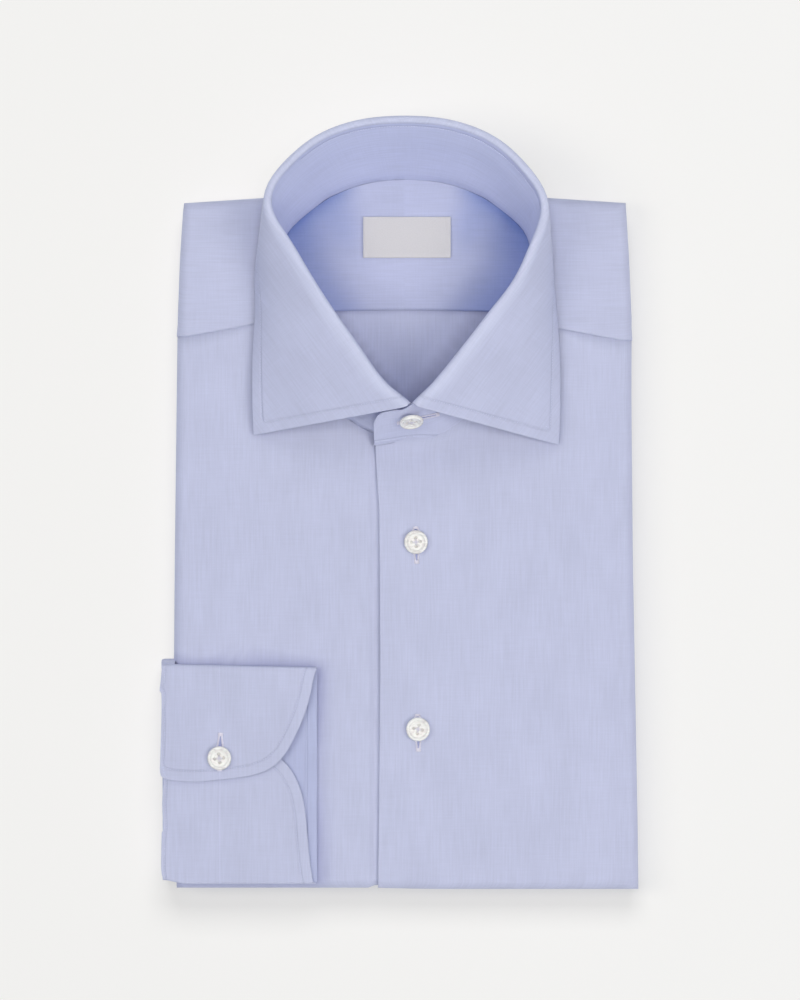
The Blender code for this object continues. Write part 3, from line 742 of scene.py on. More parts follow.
def lining_rows():
    loop = [p for p in neck_line(-1, 8) if p.y > LINING_SEAM_Y + 1.0]
    loop += [p for p in reversed(neck_line(1, 8)) if p.y > LINING_SEAM_Y + 1.0][1:]
    rim = []
    for k, p in enumerate(spread(loop, LINING_COUNT + 1)):
        rim += in_from_neck([p], -1.1 + 0.3 * abs(math.cos(math.pi * k / LINING_COUNT)))
    rim[0].y = rim[-1].y = LINING_SEAM_Y + 0.6
    rows = []
    for k, edge in enumerate(rim):
        bow = math.sin(math.pi * k / LINING_COUNT)
        seam = Vector((rim[0].x + (rim[-1].x - rim[0].x) * k / LINING_COUNT,
                       LINING_SEAM_Y + 1.3 * bow))
        rise = face_height(edge.x, edge.y) - 0.5 - LINING_Z - LINING
        row = []
        for j in range(41):
            t = j / 40
            spot = seam.lerp(edge, t)
            high = min(rise, 2.3) * smooth(0.82, 1.0, t) * bow ** 0.5
            curl = (rise + 0.6) * max(0.0, (t - 0.86) / 0.14) ** 2
            high += (curl - high) * smooth(0.84, 0.95, bow)
            wave = swell(spot.x, spot.y, 0.25, 26.0, 12.0) * smooth(0, 0.1, t) * (1 - t)
            row.append(Vector((spot.x, spot.y, LINING_Z + LINING + high + wave)))
        rows.append(row)
    return rows


def painted_shade_under_roll(p):
    """Painted shade: 1 in the nooks under the collar's roll and stand, falling to 0 out in the
    open.
    """
    most, reach = (0.52, 18.0) if p.x < NECK_MID.x else (0.69, 24.0)
    near = min(from_line(p, line) for line in roll_lines)
    aside = abs(p.x - NECK_MID.x)
    shade = most * (1 - smooth(0.0, reach, near)) * (1 - smooth(136.0, 148.0, p.y))
    shade += 0.33 * bell(p.y, 131.0, 12.0) * smooth(16, 30, aside)
    at_foot = math.exp(-from_line(p, neck_sides) / 6.0)
    shade += 0.8 * at_foot * smooth(126, 140, p.y) * smooth(19, 34, aside)
    return min(1.0, shade)


neck_sides = neck_line(-1, 6) + neck_line(1, 6)
# painted shade: the inner yoke's deep colour darkens it under the collar's roll and stand
lining_cloth = shirting("inner_yoke_poplin", (0.515, 0.545, 0.745), "h", puckers=0.06,
                        deep=(0.19, 0.26, 0.57))
lining = lay_cloth("inner_yoke", lining_rows(), 1.0, -1, lining_cloth, (0, 0, 1),
                   grain=body_grain, painted_light=painted_shade_under_roll)
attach(lining, "root")
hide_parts("yoke_lining")

# ---- Collar --------------------------------------------------------------------------
# A semi-spread leaf turns down over a stand that buttons in front. Both are two layers of
# the same poplin over a fused lining, sewn 5 mm from the leaf's edge and close to the stand's.
ROLL = 2.8              # how far the leaf's fold stands out from the stand
LEAF_HEM = 0.8          # how far the leaf goes down inside the roll
POINT_DROP = 4.5        # how much lower the wearer's left point lies
LEAF_MID = 2.9          # x of the middle between the leaf's two sides
LEAF_WALL = 0.8
STAND_WALL = 1.0
SEWN_IN = 5.0           # from the edge to its row of stitches, on the leaf and the cuff
THREAD = (0.60, 0.63, 0.84)
STAND_THREAD = (0.70, 0.73, 0.93)
STAND_FOOT_Z = 12.45    # how low its foot is let into the neck behind
# the stand's ends, under and over: x at the neckline, top x, top y, top z
BAND_UNDER = ((11.0, 11.0, 44.5, 30.5), (3.5, 4.0, 46.0, 34.0))
BAND_OVER = ((3.0, 3.2, 45.4, 40.0), (-3.0, -2.8, 44.4, 38.4), (-7.4, -7.4, 43.6, 37.0),
             (-10.4, -10.4, 42.0, 34.4), (-12.2, -12.2, 38.6, 29.6))


def collar_stations(side, steps):
    """Points of half the collar, front to back: on the neckline, on the roll, on the edge."""
    stations = []
    for row in through(COLLAR, steps):
        base_x = NECK_MID.x + side * row[0]
        base = Vector((base_x, row[1], face_height(base_x, row[1]) + 0.5))
        roll = Vector((row[3] + side * row[2], row[4], row[5]))
        drop = POINT_DROP * (1 - smooth(33, 60, row[7])) if side > 0 else 0.0
        edge = Vector((LEAF_MID + side * row[6], row[7] - drop, row[8]))
        stations.append((base, roll, edge))
    return stations


def outward(stations, k):
    base, roll, edge = stations[k]
    before = stations[max(k - 1, 0)][1]
    after = stations[min(k + 1, len(stations) - 1)][1]
    across = (after - before).cross(roll - base).normalized()
    away = Vector((roll.x - NECK_MID.x, roll.y - 110.0, 0.0))
    return across if across.dot(away) > 0 else -across


def finer(rows, steps):
    """More rows of points between the given ones, on smooth lines."""
    flat = through([[value for p in row for value in p] for row in rows], steps)
    return [[Vector(row[k:k + 3]) for k in range(0, len(row), 3)] for row in flat]


def softened(a, corner, b, steps):
    return [a.lerp(corner, k / steps).lerp(corner.lerp(b, k / steps), k / steps)
            for k in range(steps + 1)]


def even_stations(count):
    """Stations evenly along the roll, with the kinks between the table's rows eased."""
    raw = collar_stations(-1, 8) + list(reversed(collar_stations(1, 8)))[1:]
    run = run_along([roll for base, roll, edge in raw])
    even = []
    k = 0
    for step in range(count):
        want = run[-1] * step / (count - 1)
        while k < len(raw) - 2 and run[k + 1] < want:
            k += 1
        t = (want - run[k]) / (run[k + 1] - run[k])
        even.append([a.lerp(b, t) for a, b in zip(raw[k], raw[k + 1])])
    # eased in and let out again by turns, so that the ring keeps its size
    for weight in (0.5, -0.52) * 24:
        eased = [[p.copy() for p in station] for station in even]
        for k in range(1, count - 1):
            for part in range(3):
                around = (even[k - 1][part] + even[k + 1][part]) / 2
                eased[k][part] = even[k][part] + (around - even[k][part]) * weight
        even = eased
    return even, run[-1] / (count - 1)


def leaf_path(top, rise, away, edge, roll, hem, from_front):
    """The leaf from its seam inside the roll, over the roll and down to its edge."""
    crest = top + away * ROLL
    fall = (edge - crest).normalized()
    path = [top - rise * hem + away * 0.8 * smooth(8, 30, from_front), top - rise * hem * 0.5]
    middle = top.lerp(crest, 0.5) + rise * 0.15
    path += softened(path[-1], top, middle, 5)[1:]
    path += softened(middle, crest, crest + fall * 2.0, 5)[1:]
    start = path[-1]
    for j in range(1, 23):
        t = j / 22
        spot = start.lerp(edge, t)
        spot.z += 1.6 * math.sin(math.pi * t) * smooth(0, 60, (edge - roll).length)
        spot += away * swell(spot.x, spot.y, 0.5, 26.0, 2.4) * math.sin(math.pi * t)
        path.append(spot)
    return path


def stand_path(base, stop, away, from_front):
    """The stand from its foot, which is let into the neck behind, up to the roll's seam."""
    back_part = smooth(27, 58, from_front)
    tuck = (NECK_MID - base.xy).normalized().to_3d() * -0.7
    deep = max(0.7, base.z - STAND_FOOT_Z)
    path = [base + (tuck + Vector((0, 0, -low))) * back_part for low in (deep, 0.5)]
    for j in range(1, 15):
        spot = base.lerp(stop, j / 14)
        spot += tuck * back_part * (1 - smooth(0, 5, (spot - base).length))
        soft = swell(spot.x * 1.2, spot.y + spot.z, 0.55, 17.0, 6.6)
        behind = away * 0.5 * smooth(10.5, 13.0, j) * smooth(8, 30, from_front)
        path.append(spot + behind - away * soft * math.sin(math.pi * j / 14) * back_part)
    return path


def least(first, second, more):
    """The smaller of two tables of gaps, with more added to the second one."""
    return [[min(a, b + more) for a, b in zip(*both)] for both in zip(first, second)]


def to_line(p, line):
    best = 1e9
    for a, b in zip(line, line[1:]):
        span = b - a
        t = min(1.0, max(0.0, (p - a).dot(span) / span.length_squared))
        best = min(best, (p - a - span * t).length)
    return best


def gaps_from(rows, lines, reach):
    """How far each point lies from the nearest of the lines, up to the given reach."""
    found = []
    for row in rows:
        found.append([])
        for p in row:
            near = [line for line in lines
                    if min((p - q).length for q in line) < reach + 4.0]
            found[-1].append(min([to_line(p, line) for line in near] + [reach]))
    return found


def stitch_path(rows, gaps, distance, first_column=0, last_column=10000):
    """Where the sewing runs at a distance from the edges: up the rows, then along them."""
    def crossings(by_rows):
        found = []
        down, over = len(rows), len(rows[0])
        for a in range(down if by_rows else over):
            for b in range((over if by_rows else down) - 1):
                i, j, i2, j2 = (a, b, a, b + 1) if by_rows else (b, a, b + 1, a)
                here, there = gaps[i][j] - distance, gaps[i2][j2] - distance
                if (here > 0) != (there > 0) and first_column <= j <= last_column:
                    i0, i3 = max(i - 1, 0), min(i + 1, down - 1)
                    j0, j3 = max(j - 1, 0), min(j + 1, over - 1)
                    up = (rows[i3][j] - rows[i0][j]).cross(rows[i][j3] - rows[i][j0])
                    up = up if up.z > 0 else -up
                    at = rows[i][j].lerp(rows[i2][j2], here / (here - there))
                    found.append((i, j, at, up.normalized()))
        return found

    upright, across = crossings(True), crossings(False)
    paths = [[(at, up) for i, j, at, up in upright]]
    for early in (True, False):
        end = [j for i, j, at, up in upright if (i < len(rows) / 2) == early]
        if end:
            paths.append([(at, up) for i, j, at, up in across
                          if j < min(end) and (i < len(rows) / 2) == early])
    return paths


def toned(look, color, value, low, high, first=0.3, last=0.7):
    """A colour scaled from low to high as the value goes from first to last."""
    tone = add_node(look, "MapRange", {"Value": value, "From Min": first, "From Max": last,
                                       "To Min": low, "To Max": high})
    tint = add_node(look, "VectorMath", {0: color, "Scale": tone.outputs["Result"]},
                    operation="SCALE")
    return tint.outputs["Vector"]


def uneven_dye_and_shade(look, color, scale):
    """A colour a little lighter and darker from stitch to stitch: the threads' dye, and the
    painted shadow in the buttonhole slits.
    """
    place = add_node(look, "TexCoord", {})
    cloud = add_node(look, "TexNoise", {"Vector": place.outputs["Object"], "Scale": scale})
    finish(look, {"Base Color": toned(look, color, cloud.outputs["Fac"], 0.94, 1.06)})


def sew(name, lines, color, pitch=1.25, long=0.85, wide=0.32, lift=0.0):
    """Rows of fine thread stitches along lines of (point, normal)."""
    thread = bmesh.new()
    size = Matrix.Diagonal((long * MM / 2, wide * MM / 2, wide * MM / 2, 1.0))
    for line in lines:
        ahead = 0.0
        for (a, up), (b, _) in zip(line, line[1:]):
            span = (b - a).length
            while ahead < span and span > 0:
                middle = a.lerp(b, ahead / span) + up * lift
                x = (b - a).normalized()
                y = up.cross(x).normalized()
                turn = Matrix((x, y, x.cross(y))).transposed().to_4x4()
                bmesh.ops.create_icosphere(
                    thread, subdivisions=1, radius=1.0,
                    matrix=Matrix.Translation(middle * MM) @ turn @ size)
                ahead += pitch
            ahead -= span
    for face in thread.faces:
        face.smooth = True
    look = new_look(name + "_cotton", {"Roughness": 0.7, "Sheen Weight": 0.2})
    uneven_dye_and_shade(look, color, 900.0)
    piece = add_piece(name, thread, look)
    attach(piece, "root")


def painted_highlight_on_crest(p):
    """Painted highlight: 1 along the roll's crest, where the cloth is painted paler."""
    return smooth(42.6, 44.2, p.z)


def leaf_grain(p):
    """The leaf's yarns run along its roll, on each side of the neck."""
    side = 1 if p.x > LEAF_MID else -1
    along = Vector((side * 0.59, 0.81, 0.0))
    return (p.dot(along) * MM, p.dot(Vector((side * 0.81, -0.59, 0.0))) * MM)


stations, step_length = even_stations(121)
last = len(stations) - 1
leaf_rows = []
stand_rows = []
for k, (base, roll, edge) in enumerate(stations):
    from_front = min(k, last - k) * step_length
    wearers_right = k < last / 2
    meet = 1.3 * (1 - smooth(0, 14, from_front)) * (1 if wearers_right else -1)
    away = outward(stations, k)
    if wearers_right:
        # this side's roll lies further out, and its edge is tucked in above the shoulder seam
        bulge = 2.0 * bell(roll.y, 140.0, 15.0)
        tucked = 1.4 * bell(edge.y, 124.0, 7.0)
        roll = roll - Vector((bulge, 0, 0))
        edge = edge - Vector((bulge - tucked, 0, 0))
    rise = (roll - base).normalized()
    hem = LEAF_HEM * smooth(-8, 24, from_front) + 0.6 + 1.4 * smooth(20, 50, from_front)
    top = roll + Vector((meet, 0, 0))
    leaf_rows.append(leaf_path(top, rise, away, edge, roll, hem, from_front))
    stop = roll - rise * (hem - 1.0 * smooth(8, 30, from_front))
    stand_rows.append(stand_path(base, stop, away, from_front))

leaf_rows = tight_rim(leaf_rows)
leaf_edge = [row[-1] for row in leaf_rows]
gaps = gaps_from(leaf_rows, (leaf_edge, leaf_rows[0], leaf_rows[-1]), 9.0)
# painted highlight: the leaf's deep colour is paler and is mixed in along the roll's crest
leaf_cloth = shirting("leaf_poplin", (0.527, 0.552, 0.735), "h", seam=SEWN_IN * MM,
                      puckers=0.05, deep=(0.60, 0.63, 0.815))
leaf = lay_cloth("collar_leaf_cloth", leaf_rows, LEAF_WALL, 0, leaf_cloth, (0, 0, 1),
                 lambda i, j: gaps[i][j], leaf_grain, painted_highlight_on_crest)
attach(leaf, "root")
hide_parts("collar_leaf")
leaf_sewing = stitch_path(leaf_rows, gaps, SEWN_IN, 12)
sew("leaf_stitching", leaf_sewing, THREAD, lift=LEAF_WALL / 2)


def band_end(table, low_y, slope):
    found = []
    for base_x, top_x, top_y, top_z in table:
        low = Vector((base_x, low_y - slope * (3.0 - base_x), TOP + 0.5))
        top = Vector((top_x, top_y, top_z))
        found.append([low] + [low.lerp(top, 0.01 + 0.99 * j / 14) for j in range(15)])
    return found


band_middle = []
for k, row in enumerate(stand_rows[4:-4:4]):
    shift = 2.1 * (1 - smooth(0, 5.5, k))
    band_middle.append([p + Vector((0, shift * (1 - 0.85 * max(0, j - 1) / 14), 0))
                        for j, p in enumerate(row)])
band_rows = band_end(BAND_UNDER, 33.6, 0.0) + band_middle + band_end(BAND_OVER, 30.9, 0.19)
band_rows = tight_rim(finer(band_rows, 5))
band_low = [row[0] for row in band_rows]
band_top = [row[-1] for row in band_rows]
foot_gaps = [[gap + 3.6 * smooth(8.0, 24.0, p.x) for gap, p in zip(*both)]
             for both in zip(gaps_from(band_rows, (band_low[-60:],), 6.0), band_rows)]
roll_gaps = gaps_from(band_rows, (band_top[60:-60],), 6.0)
band_gaps = least(foot_gaps, roll_gaps, 1.4)
# painted light: the stand is a lighter blue than the fronts' poplin, and its deep colour, a more
# saturated blue, is painted shade on its inside behind the neck
stand_cloth = shirting("stand_poplin", (0.582, 0.608, 0.805), "h", seam=0.0036, puckers=0.06,
                       deep=(0.545, 0.582, 0.815))
stand = lay_cloth("collar_stand_cloth", band_rows, STAND_WALL, 0, stand_cloth, (0, -1, 0.2),
                  lambda i, j: band_gaps[i][j], painted_light=lambda p: smooth(50.0, 70.0, p.y))  # inside
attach(stand, "root")
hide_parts("collar_stand")
roll_sewing = []
for row in band_rows[70:-70]:
    at = row[-1].lerp(row[-4], 2.4 / (row[-4] - row[-1]).length)
    along = row[-1] - row[-4]
    inner = Vector((NECK_MID.x - at.x, 112.0 - at.y, 0.0))
    inner -= along * (inner.dot(along) / along.length_squared)
    roll_sewing.append((at, inner.normalized()))
sew("stand_stitching", [roll_sewing], STAND_THREAD, lift=STAND_WALL / 2)

# ---- Cuff ----------------------------------------------------------------------------
# The two-layer cuff with rounded flaps is folded flat on the right front. The upper flap
# buttons over the lower one, and both are edge-sewn.
CUFF_WALL = 0.85
CUFF_STEP = 1.45        # from one of its layers to the next
CUFF_Z = TOP + 0.9      # the middle of its lowest layer
FAR_SLANT = 1.9         # how far the lowest layer's hand side runs out toward the hem
FAR_OUT = 0.3
# x, y along each flap's outline, from the folds to the rounded corner and to the seam
FLAP_HAND = ((-39.3, -77.4), (-40.5, -81.0), (-42.3, -89.5), (-45.1, -99.0), (-48.6, -107.0),
             (-52.2, -114.0), (-56.2, -119.6))
FLAP_END = ((-111.2, -128.2), (-109.4, -128.9), (-96.8, -129.9), (-80.1, -128.5),
            (-68.9, -126.7), (-61.0, -123.6), (-56.2, -119.6))
FLAP_SEAM = ((-111.9, -75.9), (-112.3, -81.5), (-112.9, -87.0), (-112.1, -88.8),
             (-112.1, -101.4), (-112.6, -118.9), (-112.6, -126.0), (-111.2, -128.2))
UNDER_HAND = ((-40.9, -177.0), (-42.4, -166.7), (-43.6, -154.7), (-44.8, -142.8),
              (-46.9, -133.2), (-50.8, -125.2), (-55.8, -119.4), (-63.0, -115.0))
UNDER_END = ((-111.2, -112.0), (-95.0, -111.6), (-78.0, -112.4), (-63.0, -115.0))
UNDER_SEAM = ((-111.6, -175.1), (-112.3, -170.0), (-112.0, -153.6), (-111.4, -152.2),
              (-111.8, -140.0), (-111.2, -128.0), (-111.2, -112.0))
CUFF_PARTS = (("upper", 34), ("top fold", 8), ("far", 26), ("low fold", 8), ("lower", 34))
CUFF_CREASE = -0.0848   # the pressed line through its button


def curve(points):
    return spread([Vector(p) for p in through(points, 8)], 401)


def fold_line(place, p):
    """The cuff's two folds: near the collar it slants, near the hem its seam end rises."""
    if place == "top":
        return Vector((-111.9 + 72.6 * p, -75.9 - 1.5 * p))
    return Vector((-111.6 + 70.7 * p, -177.0 + 1.9 * (1 - smooth(0.0, 0.16, p))))


def flap_point(sides, place, t, p):
    """A flap between its hand side, its free end, its seam and its fold; t leaves the fold."""
    hand, end, seam = sides
    down, out = round(400 * t), round(400 * p)
    flat = seam[down].lerp(hand[down], p) + fold_line(place, p).lerp(end[out], t)
    return flat - seam[0].lerp(hand[0], p).lerp(seam[-1].lerp(hand[-1], p), t)


def cuff_point(place, t, p):
    """A point of the cuff: t runs on from the upper flap's free end, p out to the hand."""
    top_z = CUFF_Z + 2 * CUFF_STEP
    mid_z = CUFF_Z + CUFF_STEP
    soft = swell(110 * p, 90 * t, 0.35, 24.0, 4.0 if place == "upper" else 7.7)
    if place == "upper":
        spot = flap_point(flap_sides, "top", 1 - t, p)
        return Vector((*spot, top_z - 0.25 * t + abs(soft) * (1 - smooth(0.85, 1, t))))
    if place == "lower":
        spot = flap_point(under_sides, "low", t, p)
        return Vector((*spot, mid_z + soft * 0.5 * (1 - t) * smooth(0, 0.15, t)))
    high, low = fold_line("top", p), fold_line("low", p)
    if place == "far":
        high.x += FAR_OUT * p
        return Vector((*high.lerp(low + Vector((FAR_SLANT * p, 0)), t), CUFF_Z))
    angle = math.pi * t
    if place == "top fold":
        radius = (top_z - 0.25 - CUFF_Z) / 2
        return Vector((high.x + FAR_OUT * p * t, high.y + radius * math.sin(angle) * 0.7,
                       CUFF_Z + radius + radius * math.cos(angle)))
    radius = (mid_z - CUFF_Z) / 2
    return Vector((low.x + FAR_SLANT * p * (1 - t), low.y - radius * math.sin(angle),
                   CUFF_Z + radius - radius * math.cos(angle)))


flap_sides = [curve(points) for points in (FLAP_HAND, FLAP_END, FLAP_SEAM)]
under_sides = [curve(points) for points in (UNDER_HAND, UNDER_END, UNDER_SEAM)]
cuff_rows = []
cuff_parts = []
for place, steps in CUFF_PARTS:
    for k in range(steps):
        t = (k + 1) / (steps + 1) if "fold" in place else k / (steps - 1)
        cuff_rows.append([cuff_point(place, t, j / 44) for j in range(45)])
        cuff_parts.append(place)
cuff_rows = tight_rim(cuff_rows)
cuff_parts = [cuff_parts[0]] + cuff_parts + [cuff_parts[-1]]
cuff_gaps = []
cuff_sewing = []
for place, _ in CUFF_PARTS:
    part_rows = [row for row, part in zip(cuff_rows, cuff_parts) if part == place]
    free_end = {"upper": part_rows[:1], "lower": part_rows[-1:]}.get(place, [])
    part_gaps = gaps_from(part_rows, [[row[-1] for row in part_rows]] + free_end, 9.0)
    seam_gaps = gaps_from(part_rows, [[row[0] for row in part_rows]], 5.0)
    cuff_gaps += least(part_gaps, seam_gaps, 3.4)
    if "fold" not in place:
        cuff_sewing += stitch_path(part_rows, part_gaps, SEWN_IN)
    if free_end:
        cuff_sewing += stitch_path(part_rows, seam_gaps, 1.6, 0, 6)[:1]
cuff_cloth = shirting("cuff_poplin", (0.525, 0.55, 0.728), seam=SEWN_IN * MM,
                      crease=CUFF_CREASE, puckers=0.06, deep=(0.455, 0.49, 0.70))
# painted shade: the deep tint darkens its lowest layer, which the flaps shade
cuff = lay_cloth("cuff_cloth", cuff_rows, CUFF_WALL, 0, cuff_cloth, (0, 0, 1),
                 lambda i, j: cuff_gaps[i][j], lambda p: (p.x * MM, p.y * MM),
                 lambda p: 1.0 if p.z < CUFF_Z + 0.6 else 0.0)
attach(cuff, "root")
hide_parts("right_cuff")
sew("cuff_stitching", [path for path in cuff_sewing if len(path) > 3], THREAD,
    lift=CUFF_WALL / 2)

# ---- Sleeve end ----------------------------------------------------------------------
# The right sleeve comes round the pile's edge, pressed flat and gathered by small pleats
# into the cuff.
SLEEVE_WALL = 1.0
# across the pile's edge: x, z of the middle of the pressed sleeve, how freely it waves
SLEEVE_SECTION = (
    (-106.0, 0.75, 0.0), (-108.6, 0.8, 0.0), (-110.5, 1.5, 0.3), (-111.2, 3.4, 0.7),
    (-111.4, 7.0, 1.0), (-111.4, 12.0, 1.0), (-111.5, 15.2, 0.8), (-111.3, 16.9, 0.3),
    (-110.4, 17.3, 0.0), (-109.2, 17.4, 0.0),
)
SLEEVE_HEAD_Y = -72.6
SLEEVE_LONG = 103.2
PLEATS = (-87.2, -108.0, -152.6)

sleeve_rows = []
for k in range(71):
    y = SLEEVE_HEAD_Y - SLEEVE_LONG * k / 70
    at_top = smooth(-77.6, -76.9, y)
    lower = 0.55 * (1 - smooth(-130.5, -127.0, y))
    tuck = sum(0.6 * bell(y, at, 1.6) for at in PLEATS)
    shut = 0.6 if k == 0 else 0.0
    row = []
    for x, z, free in through(SLEEVE_SECTION, 4):
        wave = (swell(y, z, 0.5, 9.0, 8.1) + 0.2 - tuck) * smooth(0, 3, k)
        reach = 3.2 * at_top * smooth(-110.4, -109.2, x) * (z > 12)
        row.append(Vector((x - free * wave * 0.5 + lower * (z > 2) - 0.7 * at_top * free + reach,
                           y - shut, z + shut * (9.0 - z))))
    sleeve_rows.append(row)
sleeve_cloth = shirting("sleeve_poplin", BLUE, puckers=0.08)
sleeve = lay_cloth("sleeve_end", tight_rim(sleeve_rows), SLEEVE_WALL, 0, sleeve_cloth,
                   (-1, 0, 0))
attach(sleeve, "root")
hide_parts("right_sleeve")

# ---- Buttons and buttonholes ---------------------------------------------------------
# Four-hole shell buttons with a turned rim, held by crossed thread on a short thread neck.
# Buttonholes are cut slits with dense thread along both sides and a bar at each end; a dark
# sheet between the sides of each slit is a painted shadow.
HOLE_AT = 2.05          # from the button's middle to each hole's
HOLE_R = 0.66
HOLE_DEEP = 1.1
BUTTON_ROUND = 72       # points round each button
BUTTON_PROFILE = (       # distance from the middle, height
    (0.0, 1.45), (2.0, 1.45), (3.3, 1.5), (3.85, 1.6), (4.1, 1.8), (4.35, 2.05), (4.75, 2.15),
    (5.15, 2.05), (5.45, 1.75), (5.62, 1.3), (5.65, 0.9), (5.5, 0.45), (5.0, 0.1), (4.2, 0.0),
    (0.0, 0.0),
)
SHELL_ENDS = ((0.34, (0.70, 0.70, 0.67, 1)), (0.62, (0.93, 0.92, 0.895, 1)))
SHELL_CLOUDS = ((0.46, (0.84, 0.80, 0.785, 1)), (0.54, (0.86, 0.87, 0.83, 1)))  # pink, green
COLLAR_BUTTON_Z = 34.3  # it stands on the leaning collar stand
HOLE_THREAD = 0.42      # from one buttonhole stitch to the next
ONE_STITCH = 20.0       # a pitch longer than any strand, so each strand is one stitch
BUTTON_THREAD = (0.72, 0.70, 0.80)
HOLE_COTTON = (0.80, 0.78, 0.90)
BAR_COTTON = (0.80, 0.77, 0.88)
SLIT_SHADE = (0.34, 0.37, 0.61)


def shell_look(name, seed):
    """Mother-of-pearl: creamy, with faint green and pink clouds along its growth lines."""
    look = new_look(name, {"Roughness": 0.22, "Coat Weight": 0.35, "Coat Roughness": 0.12})
    place = add_node(look, "TexCoord", {})
    turn = add_node(look, "Mapping", {"Vector": place.outputs["Object"],
                                      "Location": (seed, 2 * seed, 0),
                                      "Rotation": (0.4, 0.3, seed),
                                      "Scale": (190.0, 420.0, 190.0)})
    cloud = add_node(look, "TexNoise", {"Vector": turn.outputs["Vector"], "Scale": 1.0,
                                        "Detail": 3.0, "Distortion": 1.4}).outputs["Fac"]
    colors = add_node(look, "ValToRGB", {"Fac": cloud})
    stops = colors.color_ramp.elements
    for stop, (at, color) in zip(stops, SHELL_ENDS):
        stop.position, stop.color = at, color
    for at, color in SHELL_CLOUDS:
        stops.new(at).color = color
    ridges = add_node(look, "Bump", {"Height": cloud, "Strength": 0.15, "Distance": 0.0001})
    finish(look, {"Base Color": colors.outputs["Color"], "Normal": ridges.outputs["Normal"]})
    return look


def quarter_way(quarter):
    """One of four ways out from a button's middle, square to each other."""
    angle = quarter * math.pi / 2
    return Vector((math.cos(angle), math.sin(angle), 0))


def turned_button(name, place, look):
    """A lathe-turned disc; its holes are sunk well below its face."""
    outline = []
    for a, b in zip(BUTTON_PROFILE, BUTTON_PROFILE[1:]):
        # finest over the middle, where the holes are
        steps = 26 if a[0] == 0.0 else 14 if a[0] == 2.0 else 3
        outline += [(a[0] + (b[0] - a[0]) * k / steps, a[1] + (b[1] - a[1]) * k / steps)
                    for k in range(steps)]
    outline.append(BUTTON_PROFILE[-1])

    def turned(i, j):
        far, high = outline[i]
        angle = 2 * math.pi * j / BUTTON_ROUND
        spot = Vector((far * math.cos(angle), far * math.sin(angle), 0))
        if high > 1.2 and far < 3.2:
            for quarter in range(4):
                hole = quarter_way(quarter) * HOLE_AT
                sunk = 1 - smooth(HOLE_R - 0.12, HOLE_R + 0.1, (spot - hole).length)
                high -= HOLE_DEEP * sunk
        return Vector((spot.x, spot.y, high))

    disc, _ = grid_cut(len(outline) - 1, BUTTON_ROUND, turned)
    bmesh.ops.remove_doubles(disc, verts=disc.verts, dist=1e-7)
    bmesh.ops.recalc_face_normals(disc, faces=disc.faces)
    for face in disc.faces:
        face.smooth = True
    disc.transform(place)
    piece = add_piece(name, disc, look)
    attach(piece, "root")
    return piece


def on_cloth(rows, x, y):
    """Where the cloth's middle is above a place, and its normal there."""
    best, at = 1e9, None
    for i in range(1, len(rows) - 1):
        for j in range(1, len(rows[0]) - 1):
            p = rows[i][j]
            far = (p.x - x) ** 2 + (p.y - y) ** 2 - 0.02 * p.z
            if far < best:
                best, at = far, (i, j)
    i, j = at
    up = (rows[i + 1][j] - rows[i - 1][j]).cross(rows[i][j + 1] - rows[i][j - 1]).normalized()
    up = up if up.z > 0 else -up
    p = rows[i][j]
    z = p.z - ((x - p.x) * up.x + (y - p.y) * up.y) / up.z
    return Vector((x, y, z)), up


def strand(middle, way, up):
    return [(middle, up), (middle + way * 0.01, up)]


upper_flap = [row for row, part in zip(cuff_rows, cuff_parts) if part == "upper"]
front_band = band_rows[-90:]
# name, cloth rows, half its wall, button x and y, tilt, turn, buttonhole from x, y to x, y,
# how wide it opens near the button, node
FASTENINGS = (
    ("collar", front_band, 0.5, (5.3, 39.2), 62, 8, (-1.0, 38.9), (17.8, 43.0), 0.25,
     "collar_button"),
    ("upper_front", left_rows, 0.0, (7.5, -17.3), 0, 4, (7.4, -10.3), (7.9, -27.2), 1.5,
     "front_button_upper"),
    ("lower_front", left_rows, 0.0, (8.5, -105.4), 0, -12, (8.3, -98.6), (8.7, -115.6), 1.5,
     "front_button_lower"),
    ("cuff", upper_flap, CUFF_WALL / 2, (-84.8, -118.7), 0, 8, (-84.8, -124.5),
     (-84.3, -107.2), 1.5, "cuff_button"),
)
crossed = []
hole_sewing = []
bars = []
